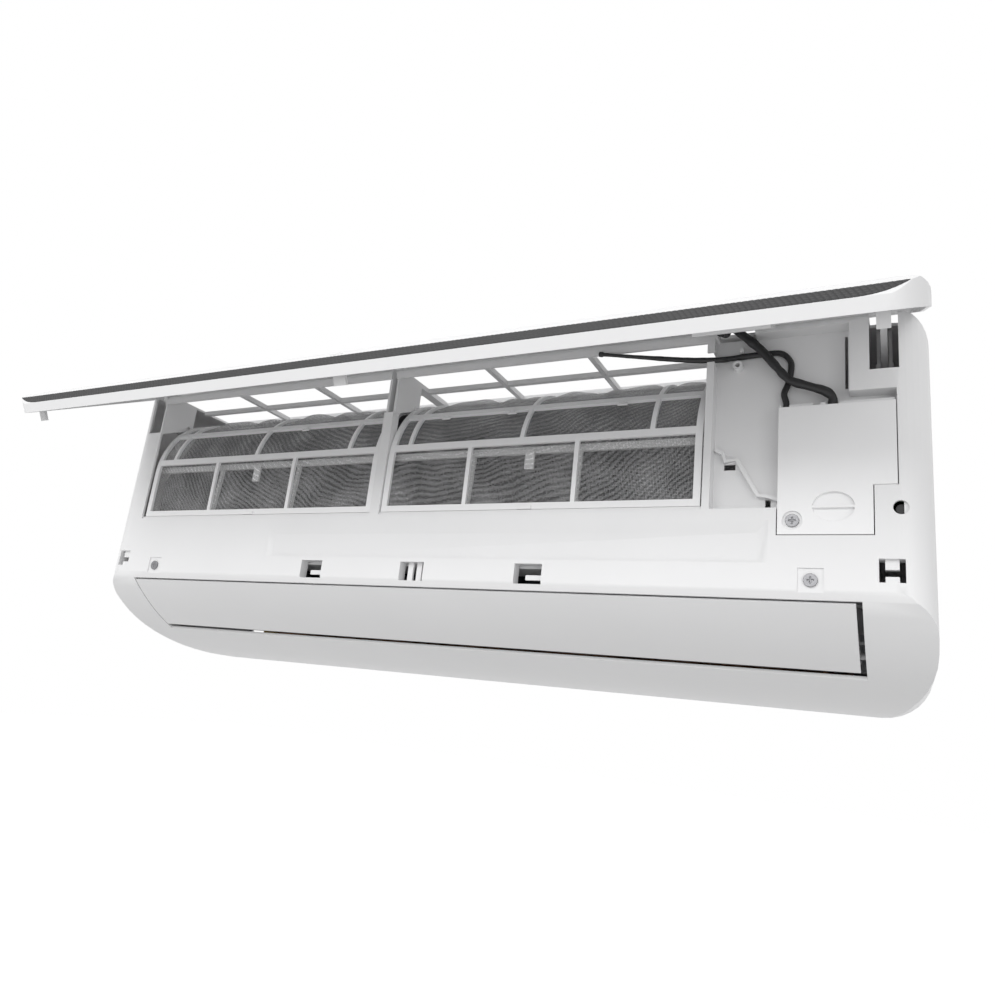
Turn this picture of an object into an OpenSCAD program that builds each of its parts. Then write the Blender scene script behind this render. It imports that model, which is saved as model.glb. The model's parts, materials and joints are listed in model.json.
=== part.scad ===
// Indoor unit of a split air conditioner, opened for cleaning: the front panel is up,
// and behind it are two lift-out filters, the electrical bay and the outlet louver.
// X runs along the unit, Y runs into the wall and Z is up. The origin is the middle of
// the wall plate's back face. Heights are given above the underside of the body.

/* [Body] */
// Overall width of the body
body_w = 855; // [800:1:950]
// Height of the body
body_h = 297; // [291:1:325]
// Depth from the wall to the flat front of the body
body_d = 187.5; // [184:0.5:196]
// Wall of the moulded casing
wall_t = 2.5; // [2:0.1:3]
// Radius of the front ends, seen from above
end_r = 26; // [20:1:30]
// Radius of the upper corners, seen from the front
face_r = 25; // [18:1:32]
// Radius of the lower corners, seen from the front
low_r = 42; // [30:1:50]
// Radius of the curved underside
belly_r = 234; // [225:1:245]
// Depth of the rear tray against the wall
tray_d = 14; // [12:0.5:18]

/* [Front panel] */
// Width of the front panel
panel_w = 0.99415 * body_w;
// Wall of the front panel
panel_t = 2.5; // [2:0.1:3]
// Height of the panel's bottom edge when it is shut
panel_low = 76; // [74:1:80]
// How far the panel's nose stands in front of the body
panel_nose = 21.5; // [20:0.5:30]
// How far the panel stands open in the rest position
panel_open = 63; // [40:1:66]
// Width of the dark trim strip along the nose
strip_w = 8; // [5:0.5:9]

/* [Outlet] */
// Width of the outlet mouth
mouth_w = 0.8889 * body_w;
// Gap round the shut louver
louver_gap = 1.6; // [1:0.1:2]
// Gap under the louver's rear edge and at its right end
louver_sag = 4.2; // [3:0.1:5]
// Wall of the louver
louver_t = 2.2; // [1.8:0.1:3]
// Distance between the upright vanes
vane_pitch = 62; // [50:1:66]
// Length of a vane along the air stream
vane_len = 30; // [24:1:31]
// Height of a vane
vane_h = 26; // [22:1:27]

/* [Filters] */
// Thickness of a filter frame
filter_t = 3; // [2.5:0.1:3.5]
// Width of the rim bars of a filter
filter_rim = 6; // [4:0.5:8]
// Width of the inner ribs of a filter
filter_rib = 4; // [3:0.5:6]
// Radius of the filter where it bends over the top
filter_r = 85.5; // [84:0.5:86]

/* [Fan] */
// Radius of the cross-flow fan
fan_r = 46; // [42:0.5:47]
// Number of blades round the fan
blade_count = 35; // [20:1:35]
// Thickness of a fan blade
blade_t = 1.2; // [0.9:0.1:1.5]
// Number of stiffening rings along the fan
ring_count = 5; // [3:1:9]
// Radius of the fan shaft
shaft_r = 4; // [3:0.1:5]

/* [Coil] */
// Thickness of the finned coil
coil_t = 25; // [20:0.5:26]
// Radius of the coil tubes
tube_r = 3.5; // [3:0.1:4]

/* [Electrical bay] */
// Depth of the bay behind the front of the body
bay_d = 13.5; // [12:0.5:15]
// Diameter of the display cable
cable_d = 8.6; // [6:0.1:8.8]
// Diameter of the sensor lead
lead_d = 4; // [3:0.1:4.5]

/* [Wall plate] */
// Width of the steel wall plate
plate_w = 560; // [440:1:640]
// Height of the wall plate
plate_h = 176; // [140:1:180]
// Thickness of the wall plate
plate_t = 1.2; // [1:0.1:1.5]
// Distance between the outer screw holes along the wall plate
plate_hole_x = 450; // [360:1:520]
// Distance between the outer screw holes up the wall plate
plate_hole_z = 120; // [90:1:140]
// Radius of the wall plate's screw holes
plate_hole_r = 2.75; // [2:0.05:3.5]

/* [Hidden] */
$fn = 48;
over = 1;
gap = 0.3;
run = 0.05;
datum_h = 160;

// Outline of the body
belly_back = tray_d + 1;
chin_in = 3.5;
chin_rise = 7;
top_r = 7;
slot_back = 24;
bend_steps = 5;
tube_sides = 12;
ring_ref = [1, 1, 1];
arc_steps = 14;
corner_steps = 8;
belly_a = asin((body_d - chin_in - belly_back) / belly_r);
belly_top = belly_r * (1 - cos(belly_a));
top_in = body_h - wall_t;
front_in = body_d - wall_t;

// Filter windows and the right-hand bay, seen from the front
win_x0 = -0.45029 * body_w;
win_x1 = 0.30994 * body_w;
win_z0 = 141;
div_x = -0.06140 * body_w;
div_w = 11;
gusset_t = 2.5;
top_bar = 12;
bay_x0 = 0.31696 * body_w;
bay_x1 = 0.43626 * body_w;
bay_x2 = 0.47368 * body_w;
bay_x3 = 0.45497 * body_w;
bay_z0 = 119.5;
bay_z1 = 157;
bay_z2 = 232;
bay_z3 = 289;
bay_xc = 0.37602 * body_w;
rim_t = 1.5;
bar_t = 5;
bar_w = 5;
top_back = 30;
top_bar_places = [174.5, 128, 88, 50];
rib_shares = [0.31, 0.65];
arch_shares = [0.09, 0.475, 0.86];
grid_low_y = -181.5;
grid_top_y = -176;
grid_t = 3.4;
grid_z0 = 199.5;
grid_z1 = 206;

// Latch slots, screws and recess on the lower front
end_slot_x = 0.46725 * body_w;
end_slot_z = 94;
end_slot = 17;
mid_slot_x = 0.13942 * body_w;
mid_slot_z = 86;
mid_slot_w = 26;
mid_slot_h = 17.5;
slot_wall = 1.5;
slot_deep = 12;
mid_slot_deep = 7.5;
catch_w = 9;
catch_up = 1.2;
catch_low = 3.8;
post_places = [-4.5, 5];
post_w = 5.5;
case_screw_x = 0.40468 * body_w;
case_screw_z = 86;
pad_w = 18;
pad_d = 1.2;
screw_r = 2;
screw_head_r = 5;
boss_r = 5.5;
trough_x0 = -0.21637 * body_w;
trough_x1 = 0.36959 * body_w;
trough_z0 = 98.6;
trough_z1 = 131.6;
trough_d = 4;
trough_slope = 9;
lead_notch_z0 = 267.5;
lead_notch_z1 = 276.5;
cable_notch_x = 0.33684 * body_w;
cable_notch_w = 15;
hole_x = 0.47485 * body_w;
hole_z = 140;
hole_r = 5.2;

// Hinge of the front panel
hinge_y = -150;
hinge_z = 266;
pin_r = 2.5;
pin_half = 6.5;
arm_t = 5;
arm_band = 8;
arm_x = 0.46433 * body_w;
ear_t = 2.5;
ear_gap = 0.5;
ear_r = 6;
slot_low = 248;
slot_w = 20;
rear_rim = 2.5;
panel_top = body_h - over;
panel_corner = 28;
panel_face = [[9.5, 1], [2.8, 6.5], [0, 16], [0.5, 34], [4, 84], [7, 134], [9.5, 179]];
panel_head = [[12, 10], [18, 1]];
end_hook_w = 8;
end_hook_y = -180;
hook_h = 3;
mid_hook_w = 12;
mid_hook_y = -182;
strip_taper = 43;
strip_rise = 6.5;
strip_tip = 6;

// Louver, vanes and outlet
lip_y = 115.9;
duct_lip_y = 108.5;
duct_lip_z = 24.5;
duct_end = [-98, 31];
louver_x0 = -mouth_w / 2 + louver_gap;
louver_x1 = mouth_w / 2 - louver_sag;
louver_rise = 69.8;
pivot_y = -122;
pivot_z = 40;
pivot_r = 2.5;
arm_r = 6;
louver_rib = 2.5;
vane_t = 1.2;
vane_y = -126;
vane_z = 66;
vane_tilt = 35;
vane_pin_r = 1.5;
rail_t = 2.5;
rail_w = 11;
link_t = 2;
link_w = 5;
link_at = 10;
bank_mid = mouth_w / 4;

// Wall plate, fan, motor and chassis
hook_w = 30;
hook_d = 5;
slot_half = 12;
plate_slot = 20;
rear_rib_shares = [-0.292, -0.14, 0.012, 0.164];
lug_w = 9;
pan_t = 2.5;
pan_mid = 156;
spigot_l = 12;
pipe_drop_x = 0.40936 * body_w;
pipe_z = 30;
gas_y = -34;
liquid_y = -16;
fan_y = -82;
fan_z = 130;
fan_x0 = -0.43743 * body_w;
fan_x1 = 0.30643 * body_w;
disc_t = 1.5;
hub_r = 14;
hub_l = 12;
duct_x0 = -0.44620 * body_w;
part_x0 = 0.31579 * body_w;
duct_x1 = 0.44620 * body_w;
duct_t = 2.5;
scroll_path = [[-24, 178], [-28, 150], [-30, 110], [-38, 85], [-50, 64], [-70, 44], [-98, 30]];
rib_low = 62;
wall_top = 170;
scroll_top = 176;
cradle_top = 178;
duct_back = 42;
duct_front = 165;
chin_back = 176;
chin_low = 77;
belly_front = 173;
screw_back = 150;
pipe_way_w = 56;
pipe_way_z0 = 12;
pipe_way_z1 = 52;
coil_back = [[-45, 170], [-106, 240], [-112, 240], [-145, 176], [-145, 112], [-137, 112]];
pan_front_top = 160;
ceil_z = 87.2;
ceil_t = 2;
motor_r = 38;
motor_x0 = 0.32865 * body_w;
motor_x1 = 0.39415 * body_w;
strap_x0 = 0.34620 * body_w;
strap_x1 = 0.37661 * body_w;
strap_t = 2.2;
bearing_r = 12;
bearing_flange = 16;
shaft_x1 = 0.35088 * body_w;
pan_z = 92.5;
pan_top = 112;
pan_front = 176;
pan_back = 137.5;
pan_x1 = 0.31520 * body_w;
spigot_r = 8;
spigot_z = 100.1;
gas_r = 4.76;
liquid_r = 3.175;
pipe_bend = 16;
pipe_end = -0.35088 * body_w;
nut_wall = 4.5;
nut_l = 20;
nut_in = 4;
pipe_up = 60;
pipe_apart = 16;

// Coil corners
coil_a = [-172, 190];
coil_b = [-136, 266];
coil_c = [-90, 262];
coil_d = [-28, 190];
coil_low = 108;
coil_in_z = 184.4;
coil_x0 = -0.44211 * body_w;
coil_x1 = 0.30409 * body_w;
sheet_t = 2;
tube_pitch = 20;
bridge_t = 2;

// Details of fan, louver and vanes
blade_deep = 12;
blade_in = 0.7;
blade_sweep = 14;
louver_steps = 14;
louver_y0 = 124.5;
louver_web = [-150, 50];
motor_off = [3, 8];
louver_motor_r = 14;
louver_motor_l = 17;
sleeve_r = 4.5;
sleeve_l = 4;
tab_gap = 3;
tab_t = 2.5;
rail_gap = 1.5;
link_z = 3;
link_r = 1.5;

// Filters
filter_cy = -100;
filter_cz = 196;
filter_end_a = 45;
filter_z0 = 144;
filter_mid_z = 206;
mesh_t = 0.4;
tab_l = 9;
tab_a = 141;
tab_w = 3.5;
tab_bar_w = 9;
tab_bar_h = 2.5;
left_tab_shares = [-0.203];
right_tab_shares = [0.007, 0.0924, 0.22];
grip_w = 14;
grip_out = 1.5;
filter_in = 3.5;
filter_mid = 6.5;
filter_right_in = 1.5;

// Panel details
pad_y = -195.5;
pad_up = 2;
pad_low = 8;
pad_in = 10.5;
arm_z = 254;
arm_bend = [[-178, 254], [-164, 256]];
panel_plan_r = 12;
strip_end = 0.48889 * body_w;
strip_t = 0.6;
disp_x0 = 0.30643 * body_w;
disp_x1 = 0.37661 * body_w;
disp_t = 6;
disp_route = [[3.6, 0], [3.6, 10], [5, 20]];
disp_z0 = 196;
disp_z1 = 222;
disp_lead_x = 0.32749 * body_w;

// Electrical parts
seat_d = 1.6;
seat_r = 7.2;
head_t = 1.8;
cross_w = 1;
clip_x = 0.34094 * body_w;
clip_z = 274.5;
clip_boss_z = 265.5;
clip_w = 3;
clip_d = 7;
clip_r = 4;
clip_hole_r = 1.8;
lip_shares = [0.3181, 0.3257, 0.3281, 0.3386, 0.3585, 0.3637, 0.3766];
lip_z = [193.5, 190, 183, 184, 153.5, 153.5, 150];
lip_w = 3;
lip_d = 5;
nick_shares = [[0.3263, 0.3368], [0.3643, 0.3690]];
nick_z = [[176.5, 181.3], [145, 151]];
inlet_shares = [0.3822, 0.4089, 0.4222];
inlet_w = [3, 2.6, 4.8];
box_x0 = 0.38012 * body_w;
box_x1 = 0.48655 * body_w;
box_z0 = 113;
box_z1 = 226;
box_front = 171.5;
box_back = 128;
box_t = 2;
floor_t = 2;
cover_t = 2.2;
cover_x0 = 0.37696 * body_w;
cover_x1 = 0.47287 * body_w;
cover_x2 = 0.45415 * body_w;
cover_z0 = 120.2;
cover_z1 = 222.4;
dish_x = 0.42281 * body_w;
dish_z = 141.5;
dish_r = 14.5;
dish_squash = 0.78;
dish_d = 3;
cover_screw_x = 0.38947 * body_w;
cover_screw_z = 131;
ledge_t = 2.5;
board_t = 1.6;
board_back = 138.4;
button_r = 3.5;
button_travel = 1.5;
button_in = 6;
part_shares = [[0.4035, 0.4269], [0.4491, 0.4772], [0.3942, 0.4129], [0.4211, 0.4421]];
part_size = [[16, 172, 184], [22, 150, 172], [8, 200, 212], [8, 200, 212]];
cap_share = 0.4503;
cap_z = 190;
cap_l = 24;
cap_r = 9;
switch_w = 6;
term_shares = [0.407, 0.4561];
pole_shares = [0.414, 0.4257, 0.4374, 0.4491];
term_z0 = 119;
term_z1 = 141;
term_d = 20;
pole_r = 3;
cover_screw_l = 24;
case_screw_l = 21;

// Routes of the leads, for a body of this width
route_w = 855;
sensor_end = [[329.6, -176.1, 256.4], [327.7, -177, 246.2], [325, -178, 237.6],
    [326.7, -178, 228.5], [326.8, -178, 214], [342, -172, 206], [342, -148, 206]];
sensor_route = concat([[170.2, -189.6, 284.8], [207.7, -189.6, 277.6],
    [248.2, -189.6, 270.3], [271, -183.5, 270.5], [283, -176.1, 273.9], [307.4, -176.1, 274.9],
    [322, -176.1, 274], [329.5, -176.1, 266]], sensor_end);
cable_route = [[292.3, -182.9, 291], [300.3, -182.9, 283.2], [309.1, -182.9, 273.4],
    [317.7, -182.9, 261.8], [326.2, -182.9, 250.4], [332.8, -182.9, 245.1],
    [344, -182.9, 240.3], [355.1, -182.5, 235.6], [360.5, -181.8, 230.6],
    [361, -180.7, 224.2], [361.3, -179.5, 214], [366, -172, 206], [366, -148, 206]];

// Placing and extruding
module at_datum() {
    translate([0, 0, -datum_h]) children();
}

module along_x(x0, x1) {
    translate([x0, 0, 0]) rotate([90, 0, 90]) linear_extrude(x1 - x0) children();
}

module along_y(y0, y1) {
    translate([0, y1, 0]) rotate([90, 0, 0]) linear_extrude(y1 - y0) children();
}

module block(x0, x1, y0, y1, z0, z1) {
    translate([x0, y0, z0]) cube([x1 - x0, y1 - y0, z1 - z0]);
}

module rod_x(x0, x1, y, z, r) {
    translate([x0, y, z]) rotate([0, 90, 0]) cylinder(h = x1 - x0, r = r);
}

module rod_y(x, z, y0, y1, r) {
    translate([x, y0, z]) rotate([-90, 0, 0]) cylinder(h = y1 - y0, r = r);
}

// Points of an arc about [y, z] or [x, y], from angle a0 to a1
function arc(cx, cy, r, a0, a1, n) =
    [for (i = [0:n]) let (a = a0 + (a1 - a0) * i / n) [cx + r * cos(a), cy + r * sin(a)]];

function belly(t) =
    [for (i = [0:arc_steps]) let (a = belly_a * i / arc_steps)
        [-belly_back - (belly_r - t) * sin(a), belly_r - (belly_r - t) * cos(a)]];

// Side outline of the body, drawn in by t, closed at a given distance from the wall
function side_outline(t, back) = concat(
    [[-back, t]], belly(t),
    [[-body_d + t, belly_top + chin_rise]],
    arc(-body_d + top_r, body_h - top_r, top_r - t, 180, 90, corner_steps),
    [[-back, body_h - t]]);

function plan_outline(w, d, t, r, back) = concat(
    [[w / 2 - t, -back], [-w / 2 + t, -back]],
    arc(-w / 2 + r, -d + r, r - t, 180, 270, corner_steps),
    arc(w / 2 - r, -d + r, r - t, 270, 360, corner_steps));

function face_outline(w, z0, z1, t, r0, r1) = concat(
    arc(w / 2 - r0, z0 + r0, r0 - t, 270, 360, corner_steps),
    arc(w / 2 - r1, z1 - r1, r1 - t, 0, 90, corner_steps),
    arc(-w / 2 + r1, z1 - r1, r1 - t, 90, 180, corner_steps),
    arc(-w / 2 + r0, z0 + r0, r0 - t, 180, 270, corner_steps));

module body_form(t, back) {
    intersection() {
        along_x(-body_w / 2 + t, body_w / 2 - t) polygon(side_outline(t, back));
        linear_extrude(body_h) polygon(plan_outline(body_w, body_d, t, end_r, back));
        along_y(-body_d, -back) polygon(face_outline(body_w, 0, body_h, t, low_r, face_r));
    }
}

// Front casing
function bay_outline(t) = [
    [bay_x0 - t, win_z0 - t], [bay_xc - t, win_z0 - t], [bay_xc - t, bay_z0 - t],
    [bay_x3 + t, bay_z0 - t], [bay_x3 + t, bay_z1 - t], [bay_x2 + t, bay_z1 - t],
    [bay_x2 + t, bay_z2 + t], [bay_x1 + t, bay_z2 + t], [bay_x1 + t, bay_z3 + t],
    [bay_x0 - t, bay_z3 + t]];

function rib_x(i) = i < 2
    ? win_x0 + rib_shares[i] * (div_x - win_x0)
    : div_x + rib_shares[i - 2] * (win_x1 - div_x);

module gusset(x0, x1) {
    along_x(x0, x1) polygon([
        [-body_d + wall_t, slot_low - over], [-body_d + wall_t, top_in],
        [hinge_y + ear_r, top_in], [hinge_y + ear_r, hinge_z],
        [hinge_y, hinge_z - ear_r], [hinge_y - ear_r, hinge_z - ear_r]]);
}

module ear() {
    along_x(-ear_t / 2, ear_t / 2) union() {
        translate([hinge_y, hinge_z]) circle(r = ear_r);
        translate([hinge_y - ear_r, hinge_z]) square([2 * ear_r, top_in - hinge_z + over / 2]);
    }
}

module slot_pocket(x, z, w, h, deep) {
    difference() {
        block(x - w / 2 - slot_wall, x + w / 2 + slot_wall, -front_in - over, -front_in + deep,
            z - h / 2 - slot_wall, z + h / 2 + slot_wall);
        block(x - w / 2, x + w / 2, -body_d, -front_in + deep + over,
            z - h / 2, z + h / 2);
    }
}

module casing_frame() {
    // Divider between the two filters, with the hinge gussets on it
    block(div_x - div_w / 2, div_x + div_w / 2, -body_d, -body_d + bay_d - filter_t,
        win_z0 - over, slot_low);
    gusset(div_x - div_w / 2, div_x - ear_gap - arm_t / 2);
    gusset(div_x + ear_gap + arm_t / 2, div_x + div_w / 2);
    gusset(win_x0 - gusset_t, win_x0);
    // Ears that carry the outer hinge pins
    for (s = [-1, 1])
        for (t = [-1, 1])
            translate([s * arm_x + t * (arm_t / 2 + ear_gap + ear_t / 2), 0, 0]) ear();
    // Support grid behind the filters
    for (i = [0:3])
        along_x(rib_x(i) - filter_rib / 2, rib_x(i) + filter_rib / 2) polygon([
            [grid_low_y, win_z0 - 2 * over], [grid_low_y + grid_t, win_z0 - 2 * over],
            [grid_top_y + grid_t, grid_z1], [grid_top_y, grid_z1]]);
    block(win_x0 - over, win_x1 + over, grid_top_y, grid_top_y + grid_t, grid_z0, grid_z1);
    // Ledge that the filters stand on
    block(win_x0 - over, win_x1 + over, -front_in - gap, -front_in + filter_t + 2 * filter_rib,
        win_z0 - over, filter_z0 - gap);
    // Top intake bars
    for (y = top_bar_places)
        block(win_x0 - over, win_x1 + over, -y - bar_w / 2, -y + bar_w / 2, body_h - bar_t, body_h);
    for (i = [0:3])
        block(rib_x(i) - bar_w / 2, rib_x(i) + bar_w / 2, -body_d + top_r, -top_back,
            body_h - bar_t, body_h);
    block(div_x - div_w / 2, div_x + div_w / 2, -body_d + top_r, -top_back, body_h - bar_t, body_h);
}

module casing_bosses() {
    // Wall round the electrical bay
    along_y(-body_d + over, -body_d + bay_d) difference() {
        polygon(bay_outline(rim_t));
        polygon(bay_outline(0));
    }
    for (s = [-1, 1]) {
        slot_pocket(s * end_slot_x, end_slot_z, end_slot, end_slot, slot_deep);
        // Blocks above and below the hook
        translate([s * end_slot_x, 0, 0]) {
            block(-catch_w / 2, catch_w / 2, -front_in + over, -front_in + slot_deep / 2,
                end_slot_z + catch_up, end_slot_z + end_slot / 2 + over / 2);
            block(-catch_w / 2, catch_w / 2, -front_in + over, -front_in + slot_deep / 2,
                end_slot_z - end_slot / 2 - over / 2, end_slot_z - catch_low);
        }
        slot_pocket(s * mid_slot_x, mid_slot_z, mid_slot_w, mid_slot_h, mid_slot_deep);
        block(s * mid_slot_x - catch_low, s * mid_slot_x + mid_slot_w / 2 + over / 2,
            -front_in + wall_t, -front_in + 2 * wall_t, mid_slot_z - catch_low - over,
            mid_slot_z - over / 2);
        rod_y(s * case_screw_x, case_screw_z, -front_in - over, -front_in + slot_deep, boss_r);
    }
    slot_pocket(0, mid_slot_z, mid_slot_w, mid_slot_h, mid_slot_deep);
    for (x = post_places)
        block(x - post_w / 2, x + post_w / 2, -front_in + wall_t + over, -front_in + 2 * wall_t + over,
            mid_slot_z - mid_slot_h / 2 - over / 2, mid_slot_z + mid_slot_h / 2 + over / 2);
    // Backing of the long recess
    block(trough_x0, trough_x1, -front_in - over, -body_d + trough_d + wall_t,
        trough_z0, trough_z1);
}

module casing() {
    difference() {
        union() {
            difference() {
                body_form(0, tray_d);
                body_form(wall_t, tray_d - over);
                // Filter windows, front and top
                block(win_x0, win_x1, -body_d - over, -front_in + over, win_z0, body_h - top_bar);
                block(win_x0, win_x1, -body_d + top_r / 2, -top_back, top_in - over, body_h + over);
            }
            casing_frame();
            casing_bosses();
        }
        // Bay, mouth and slots
        along_y(-body_d - over, -body_d + bay_d) polygon(bay_outline(0));
        block(-mouth_w / 2, mouth_w / 2, -body_d - over, -lip_y, -over, belly_top);
        for (s = [-1, 1]) {
            block(s * end_slot_x - end_slot / 2, s * end_slot_x + end_slot / 2,
                -body_d - over, -front_in + over, end_slot_z - end_slot / 2,
                end_slot_z + end_slot / 2);
            block(s * arm_x - slot_w / 2, s * arm_x + slot_w / 2, -body_d - over,
                -body_d + slot_back, slot_low, body_h + over);
            block(s * case_screw_x - pad_w / 2, s * case_screw_x + pad_w / 2, -body_d - over,
                -body_d + pad_d, case_screw_z - pad_w / 2, case_screw_z + pad_w / 2);
            rod_y(s * case_screw_x, case_screw_z, -body_d - over, -front_in + slot_deep + over,
                screw_r);
        }
        block(div_x - arm_t / 2 - ear_gap, div_x + arm_t / 2 + ear_gap, -body_d - over,
            -body_d + slot_back, slot_low, body_h + over);
        // Notch where the leads cross into the bay
        block(win_x1 - over, bay_x0 + over, -body_d - over, -body_d + bay_d + over,
            lead_notch_z0, lead_notch_z1);
        block(cable_notch_x - cable_notch_w, cable_notch_x + cable_notch_w, -body_d - over,
            -body_d + bay_d, bay_z3 - over, body_h + over);
        for (x = [-mid_slot_x, 0, mid_slot_x])
            block(x - mid_slot_w / 2, x + mid_slot_w / 2, -body_d - over, -front_in + wall_t,
                mid_slot_z - mid_slot_h / 2, mid_slot_z + mid_slot_h / 2);
        rod_y(hole_x, hole_z, -body_d - over, -front_in + over, hole_r);
        // Long recess with sloping ends and top
        intersection() {
            along_x(trough_x0, trough_x1) polygon([
                [-body_d - over, trough_z0], [-body_d + trough_d, trough_z0],
                [-body_d + trough_d, trough_z1 - trough_slope], [-body_d, trough_z1],
                [-body_d - over, trough_z1]]);
            linear_extrude(body_h) polygon([
                [trough_x0, -body_d - over], [trough_x1, -body_d - over], [trough_x1, -body_d],
                [trough_x1 - trough_slope, -body_d + trough_d],
                [trough_x0 + trough_slope, -body_d + trough_d], [trough_x0, -body_d]]);
        }
        // Pin holes of the hinge
        rod_x(-body_w / 2 + wall_t, body_w / 2 - wall_t, hinge_y, hinge_z, pin_r + run);
    }
}

module front_casing() at_datum() color("whitesmoke") casing();

// Round leads and pipes, swept along a list of points with rounded corners
function unit(v) = v / norm(v);

function corner(p, u, w, bend) =
    let (a = acos(u * w), n = unit(w - (u * w) * u), c = p - bend * tan(a / 2) * u + bend * n)
    [for (k = [0:bend_steps]) let (b = a * k / bend_steps)
        c - bend * cos(b) * n + bend * sin(b) * u];

function rounded(pts, bend) = concat([pts[0]],
    [for (i = [1:len(pts) - 2]) each corner(pts[i], unit(pts[i] - pts[i - 1]),
        unit(pts[i + 1] - pts[i]), bend)],
    [pts[len(pts) - 1]]);

function ring_at(p, t, r) =
    let (e = unit(ring_ref - (ring_ref * t) * t), f = cross(t, e))
    [for (k = [0:tube_sides - 1]) let (a = 360 * k / tube_sides)
        p + r * (cos(a) * e + sin(a) * f)];

module tube(pts, r, bend) {
    path = rounded(pts, bend);
    n = len(path) - 1;
    m = tube_sides;
    polyhedron(
        points = [for (i = [0:n])
            each ring_at(path[i], unit(path[min(i + 1, n)] - path[max(i - 1, 0)]), r)],
        faces = concat([[for (k = [0:m - 1]) k]], [[for (k = [m - 1:-1:0]) n * m + k]],
            [for (i = [0:n - 1]) for (k = [0:m - 1])
                [i * m + k, (i + 1) * m + k, (i + 1) * m + (k + 1) % m]],
            [for (i = [0:n - 1]) for (k = [0:m - 1])
                [i * m + k, (i + 1) * m + (k + 1) % m, i * m + (k + 1) % m]]));
}

// Strip of even width along a line of 2D points
function side_of(pts, i) =
    let (a = pts[max(i - 1, 0)], b = pts[min(i + 1, len(pts) - 1)], d = unit(b - a)) [d[1], -d[0]];

function inset(pts, t) = [for (i = [0:len(pts) - 1]) pts[i] + t * side_of(pts, i)];

function turn_back(pts) = [for (i = [len(pts) - 1:-1:0]) pts[i]];

function band(pts, w) = concat(inset(pts, w / 2), turn_back(inset(pts, -w / 2)));

// Wall plate and rear chassis
module wall_plate() at_datum() color("silver") {
    difference() {
        union() {
            block(-plate_w / 2, plate_w / 2, -plate_t, 0,
                datum_h - plate_h / 2, datum_h + plate_h / 2);
            for (s = [-1, 1])
                block(s * plate_w / 3 - hook_w / 2, s * plate_w / 3 + hook_w / 2,
                    -plate_t - hook_d, -plate_t, datum_h + plate_h / 2 - 2 * plate_t,
                    datum_h + plate_h / 2);
        }
        for (sx = [-1, 1])
            for (sz = [-1, 1])
                rod_y(sx * plate_hole_x / 2, datum_h + sz * plate_hole_z / 2,
                    -plate_t - over, over, plate_hole_r);
        for (x = [-plate_w / 4, 0, plate_w / 4])
            block(x - slot_half, x + slot_half, -plate_t - over, over,
                datum_h - plate_slot, datum_h + plate_slot);
    }
}

function low_edge() = concat(
    [for (p = turn_back(belly(wall_t + gap))) if (p[0] < -duct_lip_y && p[0] > -belly_front) p],
    [[-duct_lip_y - gap, duct_lip_z], duct_end, [scroll_path[4][0], rib_low]]);

function end_plate() = concat([[-tray_d / 4, rib_low], [-tray_d / 4, wall_top]], coil_back,
    [[-pan_back, ceil_z], [-pan_front_top, ceil_z], [-chin_back, chin_low]], low_edge());

module chassis_walls() {
    // Wall behind the fan that turns the air into the mouth
    along_x(duct_x0 - duct_t, part_x0 + duct_t) polygon(band(scroll_path, duct_t));
    along_x(part_x0, duct_x1 + duct_t)
        polygon(band([for (i = [4:6]) scroll_path[i]], duct_t));
    along_x(duct_x0 - duct_t, duct_x0) polygon(end_plate());
    along_x(part_x0, part_x0 + duct_t) polygon(concat(
        [[-tray_d / 4, rib_low], [-tray_d / 4, wall_top]], coil_back,
        [[-pan_back, ceil_z], [-duct_back, ceil_z], [-duct_back, rib_low]]));
    // Lower duct beyond the fan, under the motor
    block(part_x0, duct_x1 + duct_t, -duct_front, -duct_back, ceil_z, ceil_z + ceil_t);
    along_x(duct_x1, duct_x1 + duct_t) polygon(concat(
        [[-duct_back, ceil_z + ceil_t], [-duct_front, ceil_z + ceil_t], [-chin_back, chin_low]],
        low_edge()));
    block(part_x0, duct_x1 + duct_t, scroll_path[4][0], -duct_back, rib_low, ceil_z + ceil_t);
    // Ribs between the back panel and the scroll
    for (k = rear_rib_shares)
        let (x = k * body_w) along_x(x, x + duct_t) polygon(concat([[-plate_t - over, rib_low], [-plate_t - over, scroll_top]],
            [for (i = [0:4]) scroll_path[i]]));
    // Cradle for the motor
    for (x = [strap_x0, strap_x1 - duct_t])
        along_x(x, x + duct_t) difference() {
            translate([fan_y, ceil_z]) square([-plate_t - over - fan_y, cradle_top - ceil_z]);
            translate([fan_y, fan_z]) circle(r = motor_r + gap);
        }
    // Lug that takes the right casing screw
    block(case_screw_x - lug_w / 2, case_screw_x + lug_w / 2, -body_d + bay_d + over, -duct_front + over,
        case_screw_z - lug_w / 2, ceil_z + ceil_t);
}

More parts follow.
